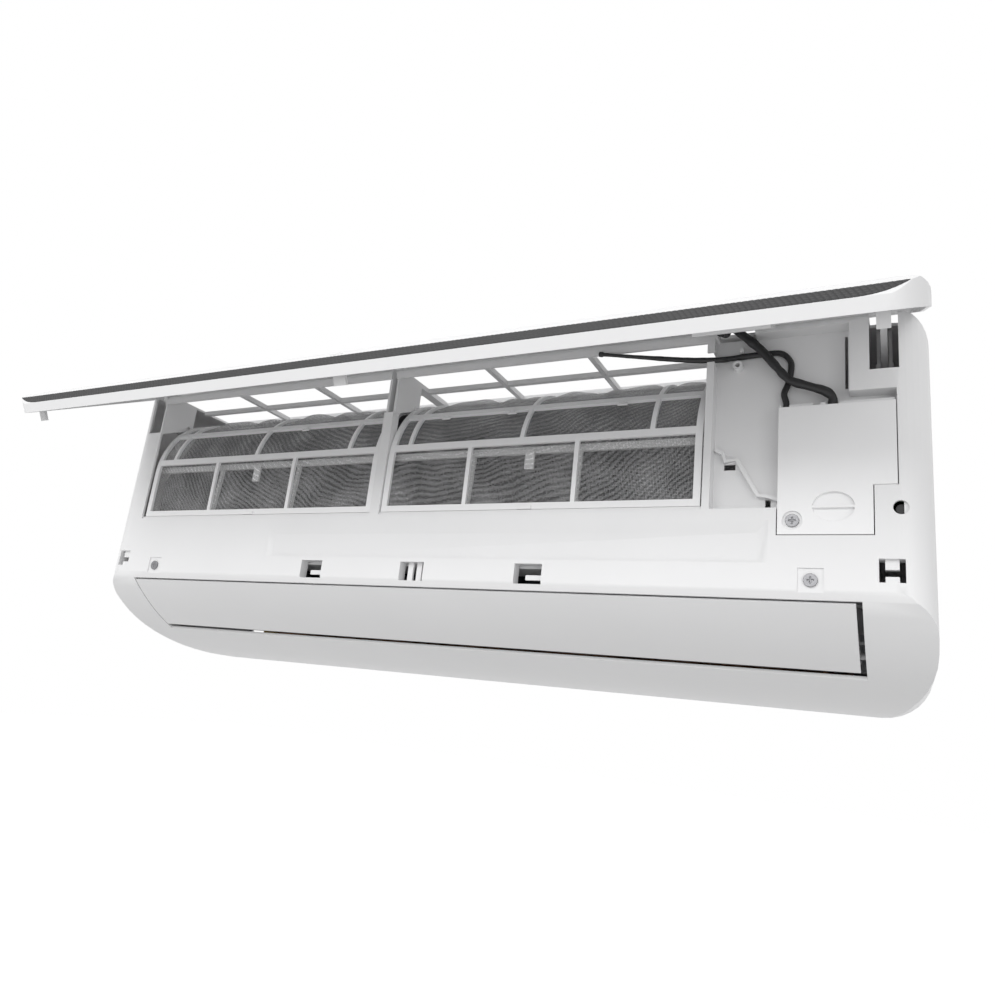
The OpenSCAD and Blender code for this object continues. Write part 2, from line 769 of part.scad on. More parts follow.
module rear_chassis() at_datum() color("gainsboro") {
    difference() {
        union() {
            difference() {
                along_y(-tray_d, 0) polygon(face_outline(body_w, 0, body_h, 0, low_r, face_r));
                along_y(-tray_d - over, -plate_t - wall_t)
                    polygon(face_outline(body_w, 0, body_h, wall_t, low_r, face_r));
                along_y(-plate_t, over)
                    polygon(face_outline(body_w, 0, body_h, wall_t, low_r, face_r));
            }
            chassis_walls();
        }
        // Slots for the hooks of the wall plate, and the way out for the pipes
        for (s = [-1, 1])
            block(s * plate_w / 3 - hook_w / 2 - over, s * plate_w / 3 + hook_w / 2 + over,
                -tray_d, over, datum_h + plate_h / 2 - 2 * plate_t - over,
                datum_h + plate_h / 2 + over);
        block(pipe_end - pipe_way_w - nut_in, pipe_end - nut_in, -tray_d - over, over,
            pipe_way_z0, pipe_way_z1);
        // Seats of the fan bearing and the shafts
        rod_x(duct_x0 - duct_t - over, duct_x0 + over, fan_y, fan_z, bearing_r);
        rod_x(part_x0 - over, part_x0 + duct_t + over, fan_y, fan_z, hub_r);
        rod_x(duct_x0 - duct_t - over, duct_x0 + over, pivot_y, pivot_z, pivot_r + run);
        rod_x(duct_x1 - over, duct_x1 + duct_t + over, pivot_y, pivot_z, pivot_r + run);
        rod_y(case_screw_x, case_screw_z, -body_d, -screw_back, screw_r);
    }
}

// Drain pan under the coil
module drain_pan() at_datum() color("gainsboro") {
    difference() {
        union() {
            along_x(duct_x0, pan_x1) polygon([
                [-pan_front, pan_z], [-pan_front, pan_top], [-pan_front + pan_t, pan_top],
                [-pan_front + pan_t, pan_z + pan_t], [-pan_back - pan_t, pan_z + pan_t],
                [-pan_back - pan_t, pan_top], [-pan_back, pan_top], [-pan_back, pan_z]]);
            for (x = [duct_x0, pan_x1 - pan_t])
                block(x, x + pan_t, -pan_front, -pan_back, pan_z, coil_low - gap);
            block(-case_screw_x - lug_w / 2, -case_screw_x + lug_w / 2, -body_d + bay_d + over,
                -duct_front + over, case_screw_z - lug_w / 2, pan_z + over);
            for (x = [duct_x0 - spigot_l, pan_x1])
                rod_x(x, x + spigot_l, -pan_mid, spigot_z, spigot_r);
            // Their roots, within the height of the end plates
            for (x = [duct_x0, pan_x1])
                rod_x(x - over, x + over, -pan_mid, spigot_z, spigot_r - pan_t / 4);
        }
        for (x = [duct_x0 - spigot_l - over, pan_x1 - pan_t - over])
            rod_x(x, x + spigot_l + pan_t + 3 * over, -pan_mid, spigot_z, spigot_r - pan_t / 2);
        rod_y(-case_screw_x, case_screw_z, -body_d, -screw_back, screw_r);
    }
}

module drain_plug() at_datum() color("dimgray") {
    rod_x(duct_x0 - spigot_l, duct_x0, -pan_mid, spigot_z, spigot_r - pan_t / 2);
    rod_x(duct_x0 - spigot_l - pan_t, duct_x0 - spigot_l, -pan_mid, spigot_z, spigot_r);
}

// Finned coil
function coil_e() = [coil_a[0] + coil_t, coil_in_z];
function slope_in(p, q, t) = let (d = unit(q - p)) t * [d[1], -d[0]];

function lower_slab() = [[coil_a[0], coil_low], [coil_a[0], coil_a[1] - gap],
    [coil_e()[0], coil_e()[1] - gap], [coil_e()[0], coil_low]];
function upper_slab() = [coil_a + [0, gap], coil_b, coil_b + slope_in(coil_a, coil_b, coil_t),
    coil_e() + [0, gap]];
function rear_slab() = [coil_c, coil_d, coil_d + slope_in(coil_c, coil_d, coil_t),
    coil_c + slope_in(coil_c, coil_d, coil_t)];

module slab(shape, c) at_datum() color(c) along_x(coil_x0, coil_x1) polygon(shape);

module coil_front_lower() slab(lower_slab(), "dimgray");
module coil_front_upper() slab(upper_slab(), "dimgray");
module coil_rear() slab(rear_slab(), "dimgray");

module coil_bridge() at_datum() color("dimgray") along_x(coil_x0, coil_x1)
    polygon([coil_b + [0, gap], coil_b + [bridge_t, gap + bridge_t],
        coil_c + [bridge_t / 2, gap + bridge_t], coil_c + [0, gap]]);

module tube_sheets() at_datum() color("silver")
    for (x = [coil_x0 - sheet_t, coil_x1])
        along_x(x, x + sheet_t) union() {
            polygon([[coil_a[0], coil_low], coil_a, coil_b,
                coil_b + slope_in(coil_a, coil_b, coil_t), coil_e(), [coil_e()[0], coil_low]]);
            polygon(rear_slab());
            polygon([coil_b, coil_c, coil_c + slope_in(coil_c, coil_d, coil_t),
                coil_b + slope_in(coil_a, coil_b, coil_t)]);
        }

// Rounded ends that join the coil's tubes in pairs, seen from one end
module hairpin(p, q, s) {
    m = (p + q) / 2;
    d = unit(q - p);
    x = s > 0 ? coil_x1 + sheet_t : coil_x0 - sheet_t;
    multmatrix([[0, s, 0, x], [d[0], 0, s * d[1], m[0]], [d[1], 0, -s * d[0], m[1]]])
        rotate_extrude(angle = 180) translate([norm(q - p) / 2, 0]) circle(r = tube_r);
}

function row(p, d, n) = [for (i = [0:n - 1]) p + i * tube_pitch * d];

function coil_rows() = [
    row([coil_a[0] + coil_t / 2, coil_low + tube_pitch / 2], [0, 1], 4),
    row(coil_a + tube_pitch / 4 * unit(coil_b - coil_a) + slope_in(coil_a, coil_b, coil_t / 2),
        unit(coil_b - coil_a), 4),
    row(coil_c + 0.35 * tube_pitch * unit(coil_d - coil_c) + slope_in(coil_c, coil_d, coil_t / 2),
        unit(coil_d - coil_c), 5)];

module coil_tubes() at_datum() color("peru")
    for (r = coil_rows()) {
        for (i = [0:2:len(r) - 2]) hairpin(r[i], r[i + 1], -1);
        for (i = [1:2:len(r) - 3]) hairpin(r[i], r[i + 1], 1);
    }

// Refrigerant pipes, from the coil round the motor bay and along the back channel
module pipe(start, x, y, z, r)
    tube([[coil_x1 + sheet_t, start[0], start[1]], [x, start[0], start[1]],
        [x, y, z + pipe_up], [x, y, z], [pipe_end, y, z]], r, pipe_bend);

module gas_pipe() at_datum() color("peru")
    pipe(coil_rows()[2][4], pipe_drop_x, gas_y, pipe_z, gas_r);
module liquid_pipe() at_datum() color("peru")
    pipe(coil_rows()[2][3], pipe_drop_x + pipe_apart, liquid_y, pipe_z, liquid_r);

module flare_nuts() at_datum() color("goldenrod")
    for (p = [[gas_y, gas_r], [liquid_y, liquid_r]])
        difference() {
            translate([pipe_end - nut_in, p[0], pipe_z]) rotate([0, 90, 0])
                cylinder(h = nut_l, r = p[1] + nut_wall, $fn = 6);
            rod_x(pipe_end - nut_in - over, pipe_end + nut_l, p[0], pipe_z, p[1]);
        }

// Cross-flow fan
function blade() = let (n = 3, ri = fan_r - blade_deep, deep = blade_deep - blade_in) concat(
    [for (i = [0:n]) let (r = ri + deep * i / n, a = blade_sweep * sin(90 * i / n))
        [r * cos(a), r * sin(a)]],
    [for (i = [n:-1:0]) let (r = ri + deep * i / n,
            a = blade_sweep * sin(90 * i / n) + blade_t / r * 180 / PI)
        [r * cos(a), r * sin(a)]]);

module fan_rotor() at_datum() color("slategray") {
    for (i = [0:blade_count - 1])
        along_x(fan_x0, fan_x1) translate([fan_y, fan_z]) rotate(i * 360 / blade_count)
            polygon(blade());
    for (i = [1:ring_count])
        translate([fan_x0 + i * (fan_x1 - fan_x0) / (ring_count + 1), 0, 0])
            along_x(0, disc_t) translate([fan_y, fan_z]) difference() {
                circle(r = fan_r);
                circle(r = fan_r - blade_deep - blade_in);
            }
    difference() {
        union() {
            rod_x(fan_x0, fan_x0 + disc_t, fan_y, fan_z, fan_r);
            rod_x(fan_x1 - disc_t, fan_x1, fan_y, fan_z, fan_r);
            rod_x(fan_x0, fan_x0 + hub_l, fan_y, fan_z, hub_r - over);
            rod_x(fan_x1 - hub_l, fan_x1, fan_y, fan_z, hub_r - over);
        }
        rod_x(fan_x0 - over, fan_x0 + hub_l + over, fan_y, fan_z, shaft_r);
        rod_x(fan_x1 - hub_l - over, fan_x1 + over, fan_y, fan_z, shaft_r);
    }
}

module fan_shaft() at_datum() color("silver") {
    rod_x(duct_x0 - duct_t + over, fan_x0 + hub_l, fan_y, fan_z, shaft_r);
    rod_x(fan_x1 - hub_l, shaft_x1, fan_y, fan_z, shaft_r);
}

module fan_bearing() at_datum() color("dimgray") difference() {
    union() {
        rod_x(duct_x0 - duct_t, duct_x0 + over, fan_y, fan_z, bearing_r);
        rod_x(duct_x0, duct_x0 + 2 * over, fan_y, fan_z, bearing_flange);
    }
    rod_x(duct_x0 - duct_t - over, duct_x0 + 3 * over, fan_y, fan_z, shaft_r + run);
}

module fan_motor() at_datum() color("silver") difference() {
    union() {
        rod_x(motor_x0 + hub_l / 2, motor_x1, fan_y, fan_z, motor_r);
        rod_x(motor_x0, motor_x0 + hub_l / 2, fan_y, fan_z, hub_r);
    }
    rod_x(motor_x0 - over, shaft_x1 + over, fan_y, fan_z, shaft_r + run);
}

module motor_cover() at_datum() color("gainsboro") along_x(strap_x0, strap_x1) union() {
    difference() {
        translate([fan_y, fan_z]) circle(r = motor_r + gap + strap_t);
        translate([fan_y, fan_z]) circle(r = motor_r + gap);
        translate([fan_y, 0]) square([body_d, body_h]);
    }
    translate([fan_y - strap_t, fan_z + motor_r + gap]) square([strap_t, cradle_top - fan_z - motor_r - gap]);
}

// Electrical box and what it holds
module electrical_box() at_datum() color("lightgray") {
    difference() {
        block(box_x0, box_x1, -box_front, -box_back, box_z0, box_z1);
        block(box_x0 + box_t, box_x1 - box_t, -box_front - over, -box_back - box_t,
            box_z0 + box_t, box_z1 - box_t);
    }
    difference() {
        rod_y(cover_screw_x, cover_screw_z, -box_front, -box_back - over, boss_r - over);
        rod_y(cover_screw_x, cover_screw_z, -box_front - over, -box_back - box_t, screw_r);
    }
}

module circuit_board() at_datum() color("darkgreen") {
    difference() {
        block(box_x0 + box_t + over, box_x1 - box_t - over, -board_back - board_t, -board_back,
            box_z0 + 2 * box_t, box_z1 - 2 * box_t);
        rod_y(cover_screw_x, cover_screw_z, -board_back - 2 * board_t, 0, boss_r);
    }
    // Relay, transformer, connectors, capacitor and the switch body
    y = -board_back - board_t;
    for (i = [0:3])
        block(part_shares[i][0] * body_w, part_shares[i][1] * body_w, y - part_size[i][0], y,
            part_size[i][1], part_size[i][2]);
    rod_y(cap_share * body_w, cap_z, y - cap_l, y, cap_r);
    difference() {
        block(hole_x - switch_w, hole_x + switch_w, y - 2 * switch_w, y, hole_z - switch_w,
            hole_z + switch_w);
        rod_y(hole_x, hole_z, y - 2 * switch_w - over, y, button_r + run);
    }
}

module terminal_block() at_datum() color("black") {
    y = -board_back - board_t;
    difference() {
        block(term_shares[0] * body_w, term_shares[1] * body_w, y - term_d, y, term_z0, term_z1);
        for (k = pole_shares)
            rod_y(k * body_w, (term_z0 + term_z1) / 2, y - term_d - over, y - term_d / 2, pole_r);
    }
}

module test_button() at_datum() color("white")
    rod_y(hole_x, hole_z, -body_d + button_in, -board_back - board_t - button_travel - over, button_r);

// Floor of the bay, with its lip, cable clip and cable ledge
module bay_plate() at_datum() color("whitesmoke") {
    y = -body_d + bay_d;
    difference() {
        union() {
            along_y(y, y + floor_t) polygon(bay_outline(rim_t));
            block(cover_x0, bay_x2 - rim_t, -body_d + cover_t + gap, y + over,
                cover_z1 + gap, cover_z1 + gap + ledge_t);
            rod_y(clip_x - clip_w, clip_boss_z, y - clip_d, y + over, clip_r);
            block(clip_x - clip_w / 2, clip_x + clip_w / 2, y - clip_d, y + over,
                clip_z + clip_w, clip_z + 2 * clip_w);
            // Lip that runs down across the bay
            along_y(y - lip_d, y + over) polygon(band(
                [for (i = [0:6]) [lip_shares[i] * body_w, lip_z[i]]], lip_w));
        }
        rod_y(clip_x - clip_w, clip_boss_z, y - clip_d - over, y + floor_t + over, clip_hole_r);
        // Opening over the electrical box
        block(box_x0 + box_t + gap, bay_x2 - 2 * box_t, y - over / 2, y + floor_t + over,
            box_z0 + hub_l, cover_z1 - cover_t);
        // Notches for the two leads, and the spare one
        for (i = [0:2])
            translate([inlet_shares[i] * body_w, 0, 0]) block(-inlet_w[i], inlet_w[i],
                -body_d - over, y - over / 2, cover_z1, cover_z1 + 2 * ledge_t);
        // Dark slots beside the column and at the ends of the lip
        block(bay_x1 - 2.4 * rim_t, bay_x1 - rim_t, y - over, y + floor_t + over,
            bay_z2 + ledge_t + hook_d, bay_z3 - hook_d);
        for (i = [0:1])
            block(nick_shares[i][0] * body_w, nick_shares[i][1] * body_w, y - over,
                y + floor_t + over, nick_z[i][0], nick_z[i][1]);
    }
}

module dish(y0, y1, r)
    translate([dish_x, y0, dish_z]) scale([1, 1, dish_squash]) rotate([-90, 0, 0])
        cylinder(h = y1 - y0, r = r);

module electrical_cover() at_datum() color("white") {
    outline = [[cover_x0, cover_z0], [cover_x2, cover_z0], [cover_x2, bay_z1 + gap],
        [cover_x1, bay_z1 + gap], [cover_x1, cover_z1], [cover_x0, cover_z1]];
    difference() {
        union() {
            difference() {
                along_y(-body_d, -body_d + bay_d) polygon(outline);
                // Hollow behind, open at the top for the leads
                block(cover_x0 + rim_t, cover_x2 - rim_t, -body_d + cover_t, 0,
                    cover_z0 + rim_t, cover_z1 + over);
                block(cover_x2 - 2 * rim_t, cover_x1 - rim_t, -body_d + cover_t, 0,
                    bay_z1 + gap + rim_t, cover_z1 + over);
            }
            dish(-body_d + over, -body_d + cover_t + dish_d, dish_r + cover_t);
            rod_y(cover_screw_x, cover_screw_z, -body_d + over, -body_d + bay_d, boss_r);
        }
        // Finger recess, dished, and the screw's seat
        difference() {
            dish(-body_d - over, -body_d + dish_d, dish_r);
            block(dish_x - dish_r, dish_x + dish_r, -body_d, -body_d + dish_d + over,
                dish_z - over, dish_z + over);
        }
        rod_y(cover_screw_x, cover_screw_z, -body_d - over, -body_d + seat_d, seat_r);
        rod_y(cover_screw_x, cover_screw_z, -body_d - over, -body_d + bay_d + over, screw_r);
    }
}

module screw(x, z, y, l) {
    difference() {
        rod_y(x, z, y, y + head_t, screw_head_r);
        block(x - screw_head_r / 2, x + screw_head_r / 2, y - over, y + head_t / 2,
            z - cross_w / 2, z + cross_w / 2);
        block(x - cross_w / 2, x + cross_w / 2, y - over, y + head_t / 2,
            z - screw_head_r / 2, z + screw_head_r / 2);
    }
    rod_y(x, z, y + head_t, y + head_t + l, screw_r);
}

module cover_screw() at_datum() color("silver")
    screw(cover_screw_x, cover_screw_z, -body_d + seat_d - head_t, cover_screw_l);

module casing_screws() at_datum() color("silver")
    for (s = [-1, 1]) screw(s * case_screw_x, case_screw_z, -body_d + pad_d - head_t, case_screw_l);

// Leads, on their real routes
module sensor_lead() at_datum() color("black")
    tube(spread(sensor_route), lead_d / 2, 1.5 * lead_d);

module display_cable() at_datum() color("black")
    tube(spread(cable_route), cable_d / 2, cable_d);

// Route that keeps its place in the width of the body
function spread(pts) = [for (p = pts) [p[0] * body_w / route_w, p[1], p[2]]];

// Louver
module louver() at_datum() color("white") {
    skin = concat(
        [for (i = [0:louver_steps]) louver_pt(0, i)],
        [for (i = [louver_steps:-1:0]) louver_pt(louver_t, i)]);
    along_x(louver_x0, louver_x1) polygon(skin);
    for (x = [louver_x0, -mouth_w / 4 - louver_rib / 2, mouth_w / 4 - louver_rib / 2,
            louver_x1 - louver_rib])
        along_x(x, x + louver_rib) polygon(concat(
            [for (i = [1:louver_steps - 1]) louver_pt(louver_t / 2, i)], [louver_web]));
    for (x = [louver_x0, -louver_rib / 2, louver_x1 - louver_rib]) {
        rod_x(x, x + louver_rib, pivot_y, pivot_z, arm_r);
        along_x(x, x + louver_rib) polygon([[pivot_y - arm_r, pivot_z], [pivot_y + arm_r, pivot_z],
            louver_pt(louver_t / 2, 2), louver_pt(louver_t / 2, 7)]);
    }
    rod_x(duct_x0 - duct_t, louver_x0 + over, pivot_y, pivot_z, pivot_r);
    rod_x(louver_x1 - over, duct_x1 + duct_t + sleeve_l, pivot_y, pivot_z, pivot_r);
    rod_x(-tab_gap - tab_t, tab_gap + tab_t, pivot_y, pivot_z, pivot_r);
}

// Point i along the louver's arc, t inside the outline of the body
function louver_pt(t, i) =
    let (a0 = asin((louver_y0 - belly_back) / belly_r), a1 = acos(1 - louver_rise / belly_r),
        a = a0 + (a1 - a0) * i / louver_steps)
    [-belly_back - (belly_r - t) * sin(a), belly_r - (belly_r - t) * cos(a)];

module louver_motor() at_datum() color("silver") difference() {
    union() {
        rod_x(duct_x1 + duct_t + gap, duct_x1 + duct_t + louver_motor_l, pivot_y + motor_off[0],
            pivot_z + motor_off[1], louver_motor_r);
        rod_x(duct_x1 + duct_t, duct_x1 + duct_t + gap + over, pivot_y, pivot_z, sleeve_r);
    }
    rod_x(duct_x1, duct_x1 + duct_t + sleeve_l + over, pivot_y, pivot_z, pivot_r + run);
}

// Vanes, tilted to stand across the air stream
module at_vane(x) translate([x, vane_y, vane_z]) rotate([vane_tilt, 0, 0]) children();

module vane_rail() at_datum() color("gainsboro") difference() {
    union() {
        at_vane(0) for (s = [-1, 1])
            translate([duct_x0, -rail_w / 2, s > 0 ? vane_h / 2 + rail_gap
                : -vane_h / 2 - rail_gap - rail_t]) cube([duct_x1 - duct_x0, rail_w, rail_t]);
        at_vane(0) for (x = [duct_x0, -rail_t / 2, duct_x1 - rail_t])
            translate([x, -rail_w / 2, -vane_h / 2 - rail_gap])
                cube([rail_t, rail_w, vane_h + 2 * rail_gap]);
        // Ears for the middle bearing of the louver
        for (s = [-1, 1])
            along_x(s * (tab_gap + tab_t / 2) - tab_t / 2, s * (tab_gap + tab_t / 2) + tab_t / 2)
                union() {
                    translate([pivot_y, pivot_z]) circle(r = arm_r);
                    translate([pivot_y - arm_r + over, pivot_z])
                        square([2 * arm_r - 2 * over, vane_z - vane_h / 2 - pivot_z + over]);
                }
    }
    for (x = vane_places()) at_vane(x)
        translate([0, 0, -vane_h / 2 - rail_gap - rail_t - over])
            cylinder(h = vane_h + 2 * (rail_gap + rail_t + over), r = vane_pin_r + run);
    rod_x(-2 * tab_gap - tab_t, 2 * tab_gap + tab_t, pivot_y, pivot_z, pivot_r + run);
}

function vane_x(side, i) = side * bank_mid + (i - 3) * vane_pitch;
function vane_places() = [for (s = [-1, 1]) for (i = [1:5]) vane_x(s, i)];

module vane(side, i) at_datum() color("gainsboro") at_vane(vane_x(side, i)) {
    difference() {
        translate([-vane_t / 2, -vane_len / 2, -vane_h / 2]) cube([vane_t, vane_len, vane_h]);
        // Notch for the link bar
        translate([-vane_t, link_at - link_w / 2 - link_r, link_z])
            cube([2 * vane_t, vane_len, link_t + 4 * gap]);
    }
    translate([0, 0, -vane_h / 2 - rail_gap - rail_t])
        cylinder(h = vane_h + 2 * (rail_gap + rail_t), r = vane_pin_r);
    translate([-link_r, link_at - link_r, link_z - vane_t])
        cube([2 * link_r, 2 * link_r, vane_t]);
    translate([0, link_at, link_z]) cylinder(h = link_t + 3 * gap, r = link_r);
}

module vane_left_1() vane(-1, 1);
module vane_left_2() vane(-1, 2);
module vane_left_3() vane(-1, 3);
module vane_left_4() vane(-1, 4);
module vane_left_5() vane(-1, 5);
module vane_right_1() vane(1, 1);
module vane_right_2() vane(1, 2);
module vane_right_3() vane(1, 3);
module vane_right_4() vane(1, 4);
module vane_right_5() vane(1, 5);

module vane_link(side) at_datum() color("gainsboro") at_vane(vane_x(side, 3)) difference() {
    translate([-2 * vane_pitch - link_w, link_at - link_w / 2, link_z + gap])
        cube([4 * vane_pitch + 2 * link_w, link_w, link_t]);
    for (i = [-2:2]) translate([i * vane_pitch, link_at, link_z - over])
        cylinder(h = link_t + 4 * over, r = link_r + gap);
}

module vane_link_left() vane_link(-1);
module vane_link_right() vane_link(1);

// Filters, flat in front and bent over the top of the coil
module filter_section(r1, r0, a0, a1) {
    intersection() {
        difference() {
            translate([filter_cy, filter_cz]) circle(r = r1);
            translate([filter_cy, filter_cz]) circle(r = r0);
        }
        polygon(concat([[filter_cy, filter_cz]],
            arc(filter_cy, filter_cz, 1.5 * filter_r, a0, a1, 6)));
    }
}

module filter_side(t0, t1) {
    union() {
        filter_section(filter_r - t0, filter_r - t1, filter_end_a, 180);
        translate([filter_cy - filter_r + t0, filter_z0])
            square([t1 - t0, filter_cz - filter_z0]);
    }
}

module cell(x0, x1, a0, a1)
    along_x(x0, x1) polygon(concat([[filter_cy, filter_cz]],
        arc(filter_cy, filter_cz, 1.5 * filter_r, a0, a1, 6)));

module filter(x0, x1, low, high, tabs) at_datum() color("whitesmoke") {
    bars = concat([x0 + filter_rim], [for (x = high) each [x - filter_rib / 2, x + filter_rib / 2]],
        [x1 - filter_rim]);
    feet = concat([x0 + filter_rim], [for (x = low) each [x - filter_rib / 2, x + filter_rib / 2]],
        [x1 - filter_rim]);
    rows = [[filter_end_a + 3, 92], [97, 138.5], [143.5, 168.5]];
    difference() {
        along_x(x0, x1) filter_side(0, filter_t);
        for (i = [0:2:len(feet) - 2])
            block(feet[i], feet[i + 1], filter_cy - filter_r - over, filter_cy - filter_r + 2 * filter_t,
                filter_z0 + filter_rim, filter_mid_z);
        for (a = rows)
            for (i = [0:2:len(bars) - 2]) cell(bars[i], bars[i + 1], a[0], a[1]);
    }
    // Finger tabs under the third rail and a grip at the bottom
    for (k = tabs)
        translate([k * body_w, filter_cy, filter_cz]) rotate([tab_a - 180, 0, 0]) {
            translate([-tab_w / 2, -filter_r, -tab_l]) cube([tab_w, filter_t / 2, tab_l + over]);
            translate([-tab_bar_w / 2, -filter_r, -tab_l]) cube([tab_bar_w, filter_t / 2, tab_bar_h]);
        }
    block((x0 + x1) / 2 - grip_w / 2, (x0 + x1) / 2 + grip_w / 2,
        filter_cy - filter_r - grip_out, filter_cy - filter_r + over, filter_z0,
        filter_z0 + filter_t);
}

module mesh(x0, x1) at_datum() color("white")
    along_x(x0 + over, x1 - over) filter_side(filter_t, filter_t + mesh_t);

function left_low() = [rib_x(0), rib_x(1)];
function right_low() = [rib_x(2), rib_x(3)];
function left_high() = [for (s = arch_shares) win_x0 + s * (div_x - win_x0)];
function right_high() = [for (s = arch_shares) div_x + s * (win_x1 - div_x)];

module filter_left()
    filter(win_x0 + filter_in, div_x - filter_mid, left_low(), left_high(), left_tab_shares);
module filter_right()
    filter(div_x + filter_mid, win_x1 - filter_right_in, right_low(), right_high(), right_tab_shares);
module mesh_left() mesh(win_x0 + filter_in, div_x - filter_mid);
module mesh_right() mesh(div_x + filter_mid, win_x1 - filter_right_in);

// Front panel, drawn shut and swung open about its hinge
module swung() {
    at_datum() translate([0, hinge_y, hinge_z]) rotate([-panel_open, 0, 0])
        translate([0, -hinge_y, -hinge_z]) children();
}

panel_y = -body_d - panel_nose;
panel_side = concat([[-body_d - rear_rim, panel_low]],
    [for (p = panel_face) [panel_y + p[0], panel_low + p[1]]],
    [for (p = panel_head) [panel_y + p[0], panel_top - p[1]]], [[-body_d - rear_rim, panel_top]]);

module panel_form(t) {
    intersection() {
        along_x(-panel_w / 2 + t, panel_w / 2 - t) polygon(t == 0 ? panel_side
            : concat([[panel_side[0][0] + over, panel_side[0][1] + t]], inset(panel_side, t),
                [[panel_side[0][0] + over, panel_top - t]]));
        along_y(panel_y, 0) polygon(face_outline(panel_w, panel_low, panel_top, t,
            panel_corner, 0.7 * panel_corner));
        linear_extrude(body_h) polygon(plan_outline(panel_w, -panel_y, t, panel_plan_r, 0));
    }
}

module panel_shell() {
    difference() {
        union() {
            difference() {
                panel_form(0);
                panel_form(panel_t);
            }
            // Hooks that latch in the slots of the body
            for (s = [-1, 1])
                block(s * end_slot_x - end_hook_w / 2, s * end_slot_x + end_hook_w / 2,
                    panel_y + panel_t / 2, end_hook_y, end_slot_z - hook_h, end_slot_z);
            block(-mid_hook_w / 2, mid_hook_w / 2, panel_y + panel_t / 2, mid_hook_y,
                mid_slot_z - hook_h / 2, mid_slot_z + hook_h / 2);
            // Pads for the hinge arms and the display
            for (x = [-arm_x, div_x, arm_x])
                block(x - arm_t, x + arm_t, panel_y + pad_in, pad_y, arm_z - pad_low, arm_z + pad_up);
            block(disp_x0, disp_x1, panel_y + pad_low, pad_y, disp_z0 + pad_low, disp_z1);
        }
        // Way through for the display lead
        block(disp_lead_x - cable_d, cable_notch_x + cable_notch_w, panel_y + pad_low,
            -body_d, panel_top - hub_l, panel_top + over);
    }
}

module front_panel() swung() color("white") panel_shell();

module trim_strip() swung() color("dimgray") intersection() {
    along_x(-strip_end, strip_end) polygon(concat(
        [for (s = [0.04, 0.96]) strip_pt(s, 0)], [for (s = [0.96, 0.04]) strip_pt(s, strip_t)]));
    along_y(panel_y - over, 0) polygon([
        [-strip_end, panel_low + strip_rise], [-strip_end + strip_taper, panel_low],
        [strip_end - strip_taper, panel_low], [strip_end, panel_low + strip_rise],
        [strip_end - strip_tip, panel_low + strip_w], [-strip_end + strip_tip, panel_low + strip_w]]);
}

function strip_pt(s, t) = let (a = panel_side[1], b = panel_side[2], n = side_of([a, b], 0))
    a + s * strip_w * unit(b - a) - t * n;

module hinge_arms() swung() color("white") for (x = [-arm_x, div_x, arm_x]) {
    along_x(x - arm_t / 2, x + arm_t / 2) union() {
        polygon(band(concat([[pad_y, arm_z]], arm_bend, [[hinge_y, hinge_z]]), arm_band));
        translate([hinge_y, hinge_z]) circle(r = arm_band / 2);
    }
    rod_x(x - pin_half, x + pin_half, hinge_y, hinge_z, pin_r);
}

module display_unit() swung() color("lightgray")
    block(disp_x0, disp_x1, pad_y, pad_y + disp_t, disp_z0, disp_z1);

module display_lead() swung() color("black")
    tube([for (p = disp_route) [disp_lead_x, pad_y + p[0], disp_z1 + p[1]]], cable_d / 2, cable_d);

wall_plate();
rear_chassis();
front_casing();
drain_pan();
drain_plug();
coil_front_lower();
coil_front_upper();
coil_rear();
coil_bridge();
coil_tubes();
tube_sheets();
gas_pipe();
liquid_pipe();
flare_nuts();
fan_rotor();
fan_shaft();
fan_bearing();
fan_motor();
motor_cover();
electrical_box();
circuit_board();
terminal_block();
bay_plate();
electrical_cover();
cover_screw();
casing_screws();
test_button();
sensor_lead();
display_cable();
display_lead();
louver();
louver_motor();
vane_rail();
vane_left_1();
vane_left_2();
vane_left_3();
vane_left_4();
vane_left_5();
vane_right_1();
vane_right_2();
vane_right_3();
vane_right_4();
vane_right_5();
vane_link_left();
vane_link_right();
filter_left();
filter_right();
mesh_left();
mesh_right();
front_panel();
trim_strip();
hinge_arms();
display_unit();
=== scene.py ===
"""Looks of a split air conditioner's indoor unit, shown with its front panel up.

The frame is that of the solids: X runs along the unit, Y into the wall and Z up, with
the origin in the middle of the wall plate's back face. Meshes are in metres. Sizes in
the sub-assemblies are in mm, with Z above the body's underside, unless one says otherwise.
"""

from __future__ import annotations

import json
import logging
import math
from dataclasses import dataclass, field
from enum import Enum
from typing import Protocol

import bmesh
import bpy
import numpy as np
from mathutils import Matrix, Vector

